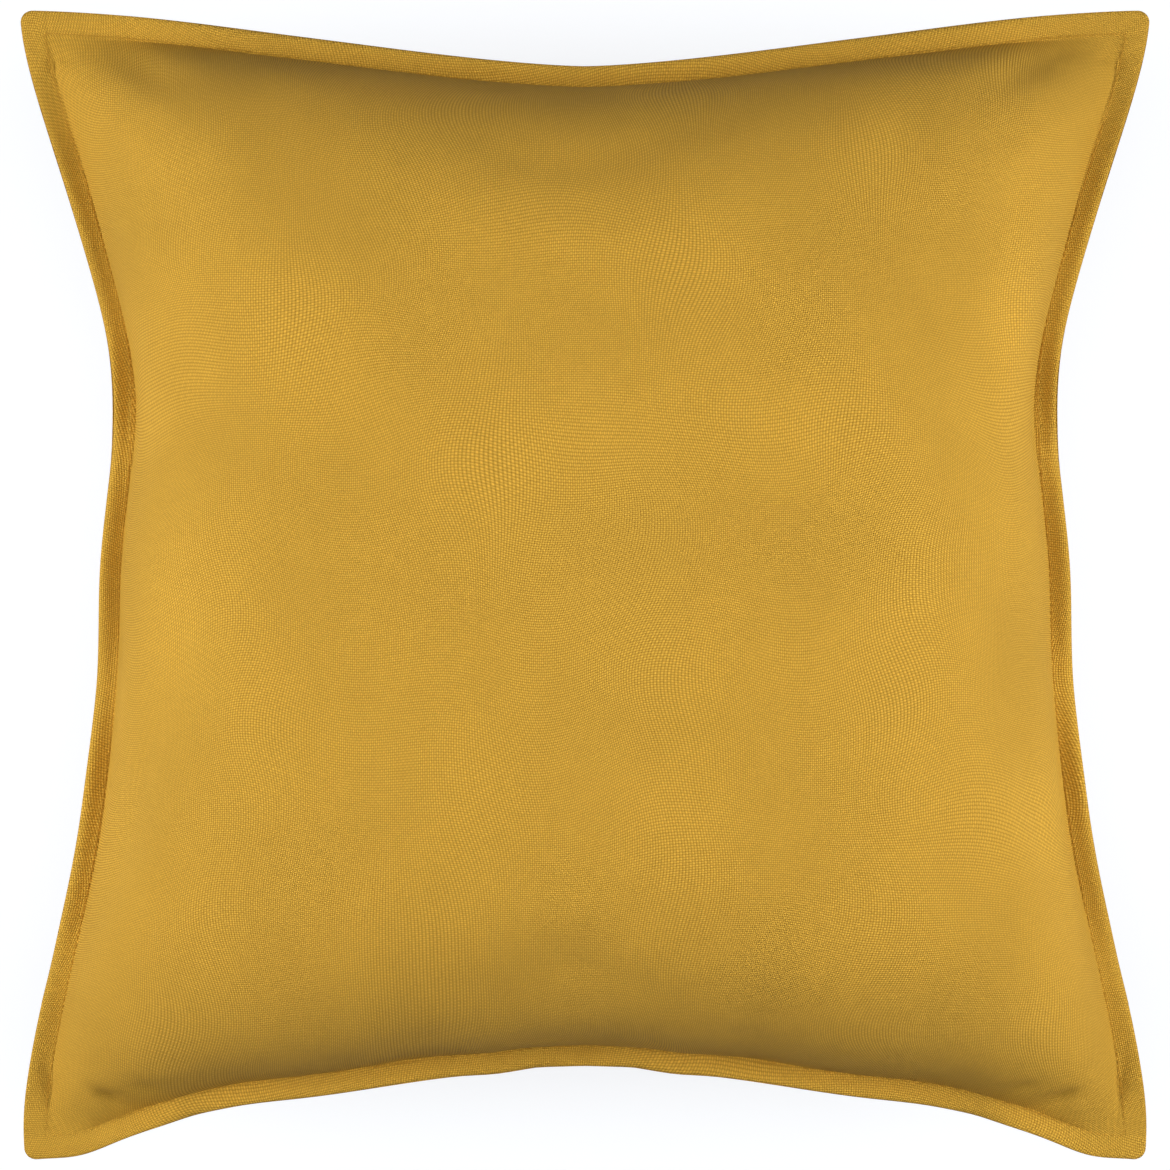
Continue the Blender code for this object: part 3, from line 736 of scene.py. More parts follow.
@dataclass
class ZipArc:
    """The zip's path in the back, read from the frame: an arc about the slider's joint.

    N is the height out of the pillow from the middle of the coils, and face_n is that of the panels' face.
    """

    centre: Array
    axis: Array
    middle: Array
    across: Array
    half_angle: float
    slider_angle: float
    pivot: Array
    radius: float
    face_n: float = 1.35 * MM
    stop_length: float = 2.5 * MM

    @classmethod
    def from_frame(cls) -> "ZipArc":
        """Reads the arc from the joints, the coils and the stops.

        Returns:
            The zip's arc.
        """
        joints = {joint["name"]: joint for joint in frame["joints"]}
        centre = np.array(joints["zip_slider_travel"]["pos_m"])
        axis = -np.array(joints["zip_slider_travel"]["axis"])
        axis /= np.linalg.norm(axis)
        pivot = np.array(joints["zip_pull_swing"]["pos_m"])
        sides = {}
        for side in ZipSide:
            mesh = frame["nodes"][f"zip_coil_{side.name.lower()}"].data
            near = [v.co for v in mesh.vertices if abs(v.co.x) < 8.0 * MM]
            sides[side] = np.array(sum(near, Vector()) / len(near))
            sides[side][0] = 0.0
        middle = (sides[ZipSide.UPPER] + sides[ZipSide.LOWER]) / 2
        across = sides[ZipSide.UPPER] - sides[ZipSide.LOWER]
        stop_low, stop_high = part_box("zip_top_stop_upper")
        reaches = []
        for point in (middle, np.array((stop_low + stop_high) / 2), pivot):
            reach = point - centre
            reaches.append(Vector(reach - axis * (reach @ axis)))
        start, end, slider = reaches
        half_angle = start.angle(end) + cls.stop_length / 2 / start.length
        across /= np.linalg.norm(across)
        return cls(centre, axis, middle, across, half_angle, start.angle(slider), pivot, start.length)

    @property
    def length(self) -> float:
        """The zip's length along the middle of its coils."""
        return 2.0 * self.half_angle * self.radius

    def directions(self, angles: Array) -> tuple[Array, Array, Array]:
        """Unit vectors along the zip, across it towards the top edge, and out of the pillow.

        Args:
            angles: places along the zip.

        Returns:
            The three arrays, with XYZ last.
        """
        angles = np.asarray(angles, float)
        ones = np.ones((*angles.shape, 1))
        along = rotated(ones * (1.0, 0.0, 0.0), self.axis, angles)
        across = rotated(ones * self.across, self.axis, angles)
        return along, across, np.cross(across, along)

    def points(self, angles: Array, offsets: Array, n: Array) -> Array:
        """Points by angle along the zip, offset across it and height out of it.

        Args:
            angles: places along the zip.
            offsets: distances across, towards the top edge.
            n: heights out of the pillow.

        Returns:
            The points, with XYZ last.
        """
        angles, offsets, n = np.broadcast_arrays(angles, offsets, n)
        _, across, out = self.directions(angles)
        ones = np.ones((*angles.shape, 1))
        arc = self.centre + rotated(ones * (self.middle - self.centre), self.axis, angles)
        return arc + across * offsets[..., None] + out * n[..., None]

    def placement(self, angle: float, n: float = 0.0) -> Matrix:
        """The matrix of a piece at an angle: its X is along the zip, its Y across and its Z out.

        Args:
            angle: the place along the zip.
            n: the height out of the coils.

        Returns:
            The placement.
        """
        along, across, out = (Vector(part) for part in self.directions(np.array(angle)))
        turned = Matrix((along, -across, out)).transposed().to_4x4()
        return Matrix.Translation(self.points(angle, 0.0, n)) @ turned


# -------- makers of meshes


def seam_spaced(cells: int) -> Array:
    """Places from -1 to 1 that lie closer together towards the seam, where the form is steep."""
    return np.sin(np.pi / 2 * np.arange(-cells, cells + 1) / cells)


def cover_places(seam: float, cells: int, flange_cells: int) -> Array:
    """Grid places across the whole cover: the dome's own, and the flange's, closer towards its round edge."""
    flange = seam + (1.0 - seam) * np.sin(np.pi / 2 * np.arange(1, flange_cells + 1) / flange_cells)
    return np.concatenate([-flange[::-1], seam * seam_spaced(cells), flange])


def grid_faces(rows: int, columns: int, facing: Facing) -> Array:
    """Corner indices of a grid's faces.

    Args:
        rows: rows of points.
        columns: columns of points.
        facing: the way that the faces look.

    Returns:
        Four indices for each face.
    """
    first = (np.arange(rows - 1)[:, None] * columns + np.arange(columns - 1)).ravel()
    corners = np.stack([first, first + 1, first + columns + 1, first + columns], axis=1)
    return corners if facing is Facing.UP else corners[:, ::-1]


def square_ring(steps: int) -> tuple[Array, Array]:
    """Places round the edge of the square from -1 to 1, with so many on each side."""
    side = np.linspace(-1.0, 1.0, steps, endpoint=False)
    ends = np.ones_like(side)
    return np.concatenate([side, ends, -side, -ends]), np.concatenate([-ends, side, ends, -side])


def box_corners(left: float, right: float, low: float, high: float) -> list[tuple[float, float]]:
    """The corners of a rectangle, in order."""
    return [(left, low), (right, low), (right, high), (left, high)]


def linked(name: str, data: bpy.types.ID) -> Object:
    """A new object of the given data, linked to the scene."""
    item = bpy.data.objects.new(name, data)
    bpy.context.scene.collection.objects.link(item)
    return item


def mesh_from(name: str, points: Array, faces: Array, material: Material | None) -> Object:
    """An object of the given points and faces.

    Args:
        name: the object's name.
        points: the points, with XYZ last.
        faces: corner indices of each face.
        material: its material, if it has one yet.

    Returns:
        The linked object, shaded smooth.
    """
    mesh = bpy.data.meshes.new(name)
    mesh.from_pydata(points.reshape(-1, 3).tolist(), [], [list(map(int, face)) for face in faces])
    mesh.update()
    mesh.shade_smooth()
    if material is not None:
        mesh.materials.append(material)
    return linked(name, mesh)


def settle(item: Object, sharp_degrees: float = 50.0) -> Object:
    """Turns an object's evaluated shape into its own plain mesh, and removes its modifiers.

    Args:
        item: the object.
        sharp_degrees: edges that turn more than this are sharp.

    Returns:
        The same object.
    """
    bpy.context.view_layer.update()
    evaluated = item.evaluated_get(bpy.context.evaluated_depsgraph_get())
    mesh = bpy.data.meshes.new_from_object(evaluated)
    item.modifiers.clear()
    item.data = mesh
    mesh.shade_smooth()
    mesh.set_sharp_from_angle(angle=math.radians(sharp_degrees))
    return item


def along_rows(points: Array) -> Array:
    """Distances along each row of a grid from its middle column."""
    steps = np.linalg.norm(np.diff(points, axis=1), axis=2)
    reach = np.concatenate([np.zeros((len(points), 1)), np.cumsum(steps, axis=1)], axis=1)
    return reach - reach[:, [points.shape[1] // 2]]


def cloth_sheet(
    name: str,
    points: Array,
    facing: Facing,
    thickness: float,
    material: Material,
    room: Array | None = None,
) -> Object:
    """A sheet of cloth over a grid of its outer face, thickened inwards.

    Its map "cloth" runs along its own threads, in metres, so a weave keeps its size on the stretched form.

    Args:
        name: the object's name.
        points: the outer face, as rows, columns and XYZ.
        facing: the way that the outer face looks.
        thickness: the cloth's thickness.
        material: the cloth.
        room: the room for it inwards of each point, where it is pressed thinner.

    Returns:
        The sheet.
    """
    rows, columns = points.shape[:2]
    item = mesh_from(name, points, grid_faces(rows, columns, facing), material)
    u = along_rows(points)
    v = along_rows(points.transpose(1, 0, 2)).T
    threads = np.stack([u, v], axis=-1).reshape(-1, 2)
    corners = np.zeros(len(item.data.loops), np.int32)
    item.data.loops.foreach_get("vertex_index", corners)
    layer = item.data.uv_layers.new(name="cloth")
    layer.data.foreach_set("uv", threads[corners].astype(np.float32).ravel())
    thicken = item.modifiers.new("cloth_thickness", "SOLIDIFY")
    thicken.thickness = thickness
    thicken.offset = -1.0
    thicken.use_even_offset = False
    if room is not None:
        pressed = item.vertex_groups.new(name="room")
        for i, share in enumerate(np.clip(room / thickness, 0.0, 1.0).ravel()):
            pressed.add([i], float(share), "REPLACE")
        thicken.vertex_group = pressed.name
    settle(item)
    item.vertex_groups.clear()
    return item


def closed_shell(name: str, front: Array, back: Array, material: Material | None) -> Object:
    """A closed form of two square grids that share their border.

    Args:
        name: the object's name.
        front: the upper grid's points.
        back: the lower grid's points, of which the border isn't used.
        material: its material, if it has one.

    Returns:
        The object. Its points are the front's and then the back's inner ones, in rows.
    """
    rows, columns = front.shape[:2]
    index = np.arange(rows * columns).reshape(rows, columns)
    index[1:-1, 1:-1] = rows * columns + np.arange((rows - 2) * (columns - 2)).reshape(rows - 2, columns - 2)
    upper = grid_faces(rows, columns, Facing.UP)
    lower = index.ravel()[grid_faces(rows, columns, Facing.DOWN)]
    points = np.concatenate([front.reshape(-1, 3), back[1:-1, 1:-1].reshape(-1, 3)])
    return mesh_from(name, points, np.concatenate([upper, lower]), material)


def extruded(
    name: str, outlines: list[Array], low: float, high: float, bevel: float, material: Material
) -> Object:
    """A plate from flat outlines, the first one solid and the others cut through it, with rounded edges.

    Args:
        name: the object's name.
        outlines: closed outlines, as XY points.
        low: the height of the plate's lower face.
        high: the height of its upper face.
        bevel: the radius of its edges.
        material: its material.

    Returns:
        The plate, as a plain mesh.
    """
    curve = bpy.data.curves.new(name, "CURVE")
    curve.dimensions = "2D"
    curve.fill_mode = "BOTH"
    curve.extrude = (high - low) / 2 - bevel
    curve.bevel_depth = bevel
    curve.bevel_resolution = 2
    curve.offset = -bevel
    for outline in outlines:
        spline = curve.splines.new("POLY")
        spline.points.add(len(outline) - 1)
        for spot, (x, y) in zip(spline.points, outline):
            spot.co = (x, y, 0.0, 1.0)
        spline.use_cyclic_u = True
    source = linked(name + "_curve", curve)
    bpy.context.view_layer.update()
    mesh = bpy.data.meshes.new_from_object(source.evaluated_get(bpy.context.evaluated_depsgraph_get()))
    bpy.data.objects.remove(source)
    mesh.name = name
    bm = bmesh.new()
    bm.from_mesh(mesh)
    bmesh.ops.remove_doubles(bm, verts=bm.verts, dist=0.001 * MM)
    bmesh.ops.recalc_face_normals(bm, faces=bm.faces)
    bmesh.ops.translate(bm, verts=bm.verts, vec=(0.0, 0.0, (low + high) / 2))
    bm.to_mesh(mesh)
    bm.free()
    mesh.materials.clear()
    mesh.materials.append(material)
    mesh.shade_smooth()
    mesh.set_sharp_from_angle(angle=math.radians(40.0))
    return linked(name, mesh)


def rounded_outline(corners: list[tuple[float, float]], radius: float, steps: int = 5) -> Array:
    """An outline with its corners rounded by arcs.

    Args:
        corners: the corner points, in order.
        radius: the arcs' size, cut to what each side leaves room for.
        steps: segments in each arc.

    Returns:
        The outline's points.
    """
    found = []
    count = len(corners)
    for i, corner in enumerate(corners):
        here = np.array(corner)
        before = np.array(corners[i - 1]) - here
        after = np.array(corners[(i + 1) % count]) - here
        reach = min(radius, 0.45 * np.linalg.norm(before), 0.45 * np.linalg.norm(after))
        start = here + before / np.linalg.norm(before) * reach
        end = here + after / np.linalg.norm(after) * reach
        for t in np.linspace(0.0, 1.0, steps + 1):
            found.append((1 - t) ** 2 * start + 2 * t * (1 - t) * here + t * t * end)
    return np.array(found)


def joined(name: str, parts: list[Object]) -> Object:
    """Joins closed shapes into one object, with their place in its mesh.

    Args:
        name: the new object's name.
        parts: the shapes, which are removed.

    Returns:
        The joined object, at the origin.
    """
    bm = bmesh.new()
    bpy.context.view_layer.update()
    for part in parts:
        mesh = part.data.copy()
        mesh.transform(part.matrix_world)
        bm.from_mesh(mesh)
        bpy.data.meshes.remove(mesh)
    mesh = bpy.data.meshes.new(name)
    bm.to_mesh(mesh)
    bm.free()
    mesh.materials.append(parts[0].data.materials[0])
    mesh.set_sharp_from_angle(angle=math.radians(40.0))
    for part in parts:
        bpy.data.objects.remove(part)
    return linked(name, mesh)


def dress(item: Object, body: str, slot: str, *nodes: str) -> Object:
    """Ties a finished piece to the frame.

    Args:
        item: the piece.
        body: the body that it rides on.
        slot: the record's material slot; not used.
        *nodes: the CAD nodes that it stands for.

    Returns:
        The piece.
    """
    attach(item, body)
    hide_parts(*nodes)
    LOG.info("%s: %d faces on %s, for %s", item.name, len(item.data.polygons), body, ", ".join(nodes))
    return item


# -------- rows of stitches and coils


@dataclass
class PathTree:
    """A Geometry Nodes tree that follows a path, with named inputs for its sizes."""

    name: str
    sizes: dict[str, float]
    tree: NodeTree = field(init=False)
    sockets: dict[str, str] = field(init=False, default_factory=dict)

    def __post_init__(self) -> None:
        """Makes the tree's interface, and its inner nodes."""
        self.tree = bpy.data.node_groups.new(self.name, "GeometryNodeTree")
        face = self.tree.interface
        face.new_socket(name="Geometry", in_out="INPUT", socket_type="NodeSocketGeometry")
        for name, value in self.sizes.items():
            kind = "NodeSocketInt" if isinstance(value, int) else "NodeSocketFloat"
            socket = face.new_socket(name=name, in_out="INPUT", socket_type=kind)
            socket.default_value = value
            self.sockets[name] = socket.identifier
        finish = face.new_socket(name="Finish", in_out="INPUT", socket_type="NodeSocketMaterial")
        self.sockets["Finish"] = finish.identifier
        face.new_socket(name="Geometry", in_out="OUTPUT", socket_type="NodeSocketGeometry")
        given = add_node(self.tree, "NodeGroupInput").outputs
        made = self.follow(given)
        real = add_node(self.tree, "GeometryNodeRealizeInstances", {0: made})
        smooth = add_node(self.tree, "GeometryNodeSetShadeSmooth", {0: real})
        finished = add_node(self.tree, "GeometryNodeSetMaterial", {0: smooth, "Material": given["Finish"]})
        add_node(self.tree, "NodeGroupOutput", {0: finished})

    def follow(self, given: bpy.types.bpy_prop_collection) -> Socket:
        """Builds what follows the path.

        Args:
            given: the tree's inputs.

        Returns:
            The socket with the geometry.
        """
        raise NotImplementedError

    def vector(self, name: str) -> Socket:
        """A direction stored on the path's points."""
        kind = "GeometryNodeInputNamedAttribute"
        return add_node(self.tree, kind, {"Name": name}, data_type="FLOAT_VECTOR").outputs[0]

    def spaced_path(self, given: bpy.types.bpy_prop_collection, spacing: Socket) -> Socket:
        """The path as a curve with evenly spaced points.

        Args:
            given: the tree's inputs.
            spacing: the distance between points.

        Returns:
            The curve.
        """
        curve = add_node(self.tree, "GeometryNodeMeshToCurve", {0: given["Geometry"]})
        links = {0: curve, "Length": spacing}
        return add_node(self.tree, "GeometryNodeResampleCurve", links, mode="LENGTH").outputs[0]

    def strand(self, curve: bpy.types.Node, radius: Socket) -> Socket:
        """A closed six-sided strand of the given radius along a curve."""
        ring = add_node(self.tree, "GeometryNodeCurvePrimitiveCircle", {"Resolution": 6, "Radius": radius})
        links = {"Curve": curve, "Profile Curve": ring, "Fill Caps": True}
        return add_node(self.tree, "GeometryNodeCurveToMesh", links).outputs[0]

    def math(self, operation: str, *values: Socket | float) -> Socket:
        """The result of a Math node."""
        return add_node(self.tree, "ShaderNodeMath", dict(enumerate(values)), operation=operation).outputs[0]

    def run(
        self,
        name: str,
        path: Array,
        closed: bool,
        directions: dict[str, Array],
        finish: Material,
        **sizes: float,
    ) -> Object:
        """Makes a piece along a path, as a plain mesh.

        Args:
            name: the piece's name.
            path: the path's points.
            closed: True if it ends where it starts.
            directions: vectors for each point, by attribute name.
            finish: the piece's material.
            **sizes: sizes other than the tree's own, with _ for a space in the name.

        Returns:
            The piece.
        """
        count = len(path)
        edges = [(i, i + 1) for i in range(count - 1)] + ([(count - 1, 0)] if closed else [])
        mesh = bpy.data.meshes.new(name)
        mesh.from_pydata(path.tolist(), edges, [])
        for attribute, values in directions.items():
            layer = mesh.attributes.new(attribute, "FLOAT_VECTOR", "POINT")
            layer.data.foreach_set("vector", np.asarray(values, np.float32).ravel())
        item = linked(name, mesh)
        grow = item.modifiers.new(self.name, "NODES")
        grow.node_group = self.tree
        for size, value in sizes.items():
            grow[self.sockets[size.replace("_", " ")]] = value
        grow[self.sockets["Finish"]] = finish
        return settle(item)


class StitchRow(PathTree):
    """Lockstitches along a path: short threads that rise from one needle hole and sink in the next.

    Sizes: the distance between stitches, the length that shows, the thread's radius, how high it rises, how
    deep its ends sink, its turn from the path, how unevenly it lies, and the seed of that.
    """

    def __init__(self) -> None:
        """Names the sizes, with those of a topstitch as their defaults."""
        super().__init__(
            "stitch_row",
            {
                "Stitch Pitch": 3.0 * MM,
                "Stitch Length": 2.6 * MM,
                "Thread Radius": 0.26 * MM,
                "Rise": 0.5 * MM,
                "Sink": 0.3 * MM,
                "Turn": 0.0,
                "Unevenness": 0.09,
                "Seed": 7,
            },
        )

    def follow(self, given: bpy.types.bpy_prop_collection) -> Socket:
        """Builds one stitch and lays it at each point of the path."""
        tree = self.tree
        path = self.spaced_path(given, given["Stitch Pitch"])
        half = self.math("MULTIPLY", given["Stitch Length"], 0.5)
        start = add_node(tree, "ShaderNodeCombineXYZ", {0: self.math("MULTIPLY", half, -1.0)})
        end = add_node(tree, "ShaderNodeCombineXYZ", {0: half})
        middle = add_node(tree, "ShaderNodeCombineXYZ", {2: given["Rise"]})
        dip = self.math("MULTIPLY", given["Sink"], -1.0)
        for tip in (start, end):
            tree.links.new(dip, tip.inputs[2])
        arc = add_node(
            tree,
            "GeometryNodeCurveQuadraticBezier",
            {"Resolution": 5, "Start": start, "Middle": middle, "End": end},
        )
        stitch = self.strand(arc, given["Thread Radius"])
        tangent = add_node(tree, "GeometryNodeInputTangent")
        frame_turn = add_node(
            tree,
            "FunctionNodeAxesToRotation",
            {0: tangent, 1: self.vector("out")},
            primary_axis="X",
            secondary_axis="Z",
        )
        spread = given["Unevenness"]
        wander = add_node(
            tree,
            "FunctionNodeRandomValue",
            {2: self.math("MULTIPLY", spread, -1.0), 3: spread, "Seed": given["Seed"]},
            data_type="FLOAT",
        )
        angle = self.math("ADD", given["Turn"], wander.outputs[1])
        turn = add_node(tree, "FunctionNodeAxisAngleToRotation", {0: (0.0, 0.0, 1.0), 1: angle})
        laid = add_node(
            tree,
            "FunctionNodeRotateRotation",
            {0: frame_turn, 1: turn},
            rotation_space="LOCAL",
        )
        links = {"Points": path, "Instance": stitch, "Rotation": laid}
        return add_node(tree, "GeometryNodeInstanceOnPoints", links).outputs[0]


class CoilSpiral(PathTree):
    """A zip's monofilament, wound in flat turns round a path.

    Sizes: the distance between turns, the points in a turn, the wire's radius, the turns' half width and half
    height to the wire's middle, and the hand of the winding.
    """

    def __init__(self) -> None:
        """Names the sizes, with those of a narrow coil zip as their defaults."""
        super().__init__(
            "coil_spiral",
            {
                "Turn Pitch": 1.2 * MM,
                "Points In Turn": 10,
                "Wire Radius": 0.29 * MM,
                "Half Width": 0.86 * MM,
                "Half Height": 0.5 * MM,
                "Hand": 1.0,
            },
        )

    def follow(self, given: bpy.types.bpy_prop_collection) -> Socket:
        """Winds the path's points outwards and draws the wire through them."""
        tree = self.tree
        spacing = self.math("DIVIDE", given["Turn Pitch"], given["Points In Turn"])
        path = self.spaced_path(given, spacing)
        index = add_node(tree, "GeometryNodeInputIndex").outputs[0]
        step = self.math("DIVIDE", math.tau, given["Points In Turn"])
        phase = self.math("MULTIPLY", index, step)
        sideways = self.math("MULTIPLY", self.math("COSINE", phase), given["Half Width"])
        height = self.math("MULTIPLY", self.math("SINE", phase), given["Half Height"])
        sideways = self.math("MULTIPLY", sideways, given["Hand"])
        kind = "ShaderNodeVectorMath"
        across = add_node(tree, kind, {0: self.vector("across"), "Scale": sideways}, operation="SCALE")
        up = add_node(tree, kind, {0: self.vector("out"), "Scale": height}, operation="SCALE")
        shift = add_node(tree, kind, {0: across, 1: up}, operation="ADD")
        wound = add_node(tree, "GeometryNodeSetPosition", {0: path, "Offset": shift})
        return self.strand(wound, given["Wire Radius"])


# -------- inflation


def cubic_weights(places: Array, count: int) -> Array:
    """Weights that read a row of values smoothly between its points.

    Args:
        places: where to read, from 0 to count - 1.
        count: how many values the row has.

    Returns:
        A matrix with a row of weights for each place.
    """
    first = np.clip(np.floor(places).astype(int), 0, count - 2)
    t = places - first
    shares = (
        (-t + 2 * t**2 - t**3) / 2,
        (2 - 5 * t**2 + 3 * t**3) / 2,
        (t + 4 * t**2 - 3 * t**3) / 2,
        (-(t**2) + t**3) / 2,
    )
    weights = np.zeros((len(places), count))
    for k, share in enumerate(shares):
        np.add.at(weights, (np.arange(len(places)), np.clip(first + k - 1, 0, count - 1)), share)
    return weights


@dataclass
class Inflation:
    """Blows the closed cover up with a cloth simulation, so that it fills out as stuffed cloth does."""

    form: PillowForm
    pinned_back: Array
    cells: int
    pressure: float = 4.0
    growth: float = 0.006
    cap: float = 4.0 * MM
    inward_cap: float = 1.2 * MM
    start_share: float = 0.985
    calming_passes: int = 8
    fields: dict[Facing, Array] = field(init=False, default_factory=dict)

    def run(self) -> None:
        """Simulates the shell and keeps how far each of its points moved."""
        form = self.form
        places = seam_spaced(self.cells)
        a, b = np.meshgrid(form.seam_a * places, form.seam_b * places)
        front = form.face(a, b, Facing.UP)
        back = form.face(a, b, Facing.DOWN)
        start = form.middle_height + (front[..., 2] - form.middle_height) * self.start_share
        shell = closed_shell("inflated_shell", np.dstack([front[..., :2], start]), back, None)
        count = len(places)
        held = np.zeros((count, count))
        held[[0, -1], :] = 1.0
        held[:, [0, -1]] = 1.0
        weights = np.concatenate([held.ravel(), self.pinned_back[1:-1, 1:-1].ravel()])
        before, after = self._simulate(shell, weights)
        moved = after - before
        share = count * count
        fields = {Facing.UP: moved[:share].reshape(count, count, 3), Facing.DOWN: np.zeros((count, count, 3))}
        fields[Facing.DOWN][1:-1, 1:-1] = moved[share:].reshape(count - 2, count - 2, 3)
        for facing, given in (Facing.UP, front), (Facing.DOWN, back):
            self.fields[facing] = self._capped(self._calmed(fields[facing]), given, facing)

    def _simulate(self, shell: Object, weights: Array) -> tuple[Array, Array]:
        """Steps the cloth through its frames.

        Args:
            shell: the closed shell, which is removed.
            weights: how firmly each point is held, from 0 to 1.

        Returns:
            Its points before and after.
        """
        pins = shell.vertex_groups.new(name="pins")
        for i, weight in enumerate(weights):
            if weight > 0.0:
                pins.add([i], float(weight), "REPLACE")
        cloth = shell.modifiers.new("inflate", "CLOTH")
        settings = cloth.settings
        settings.quality = 6
        settings.mass = 0.3
        settings.tension_stiffness = 25.0
        settings.compression_stiffness = 25.0
        settings.shear_stiffness = 8.0
        settings.bending_stiffness = 1.2
        settings.use_pressure = True
        settings.uniform_pressure_force = self.pressure
        settings.shrink_min = -self.growth
        settings.vertex_group_mass = "pins"
        settings.effector_weights.gravity = 0.0
        cloth.collision_settings.use_collision = False
        cloth.collision_settings.use_self_collision = False
        cloth.point_cache.frame_start = 1
        cloth.point_cache.frame_end = SIMULATED_FRAMES
        scene = bpy.context.scene
        before = np.array([v.co for v in shell.data.vertices])
        for step in range(1, SIMULATED_FRAMES + 1):
            scene.frame_set(step)
        evaluated = shell.evaluated_get(bpy.context.evaluated_depsgraph_get())
        after = np.array([v.co for v in evaluated.data.vertices])
        bpy.data.objects.remove(shell)
        scene.frame_set(1)
        return before, after

    def _calmed(self, moved: Array) -> Array:
        """Averages each inner point's movement with its neighbours', which leaves the broad swelling.

        Args:
            moved: how far each point moved.

        Returns:
            The smoother movement.
        """
        for _ in range(self.calming_passes):
            sides = moved[:-2, 1:-1] + moved[2:, 1:-1] + moved[1:-1, :-2] + moved[1:-1, 2:]
            moved[1:-1, 1:-1] = moved[1:-1, 1:-1] / 2 + sides / 8
        return moved

    def _capped(self, moved: Array, points: Array, facing: Facing) -> Array:
        """Limits the movement, so that the cloth stays in its space and clear of the pad.

        Args:
            moved: how far each point moved.
            points: the form's points.
            facing: the way that the outer face looks.

        Returns:
            The limited movement.
        """
        size = np.linalg.norm(moved, axis=2, keepdims=True)
        moved = moved * np.minimum(1.0, self.cap / np.maximum(size, 1e-9))
        normals = np.cross(np.gradient(points, axis=1), np.gradient(points, axis=0)) * facing.value
        normals /= np.maximum(np.linalg.norm(normals, axis=2, keepdims=True), 1e-12)
        outward = (moved * normals).sum(axis=2, keepdims=True)
        return moved - normals * np.minimum(outward + self.inward_cap, 0.0)

    def at(self, a: Array, b: Array, facing: Facing) -> Array:
        """The movement over a grid's columns and rows.

        Args:
            a: places of the columns.
            b: places of the rows.
            facing: the front or the back.

        Returns:
            The movement, as rows, columns and XYZ.
        """
        if not self.fields:
            return np.zeros((len(b), len(a), 3))
        reads = []
        for places, seam in ((b, self.form.seam_b), (a, self.form.seam_a)):
            turn = np.arcsin(np.clip(places / seam, -1.0, 1.0)) / (np.pi / 2)
            reads.append(cubic_weights((turn + 1.0) * self.cells, 2 * self.cells + 1))
        return np.einsum("ri,ijk,cj->rck", reads[0], self.fields[facing], reads[1])


# -------- cover


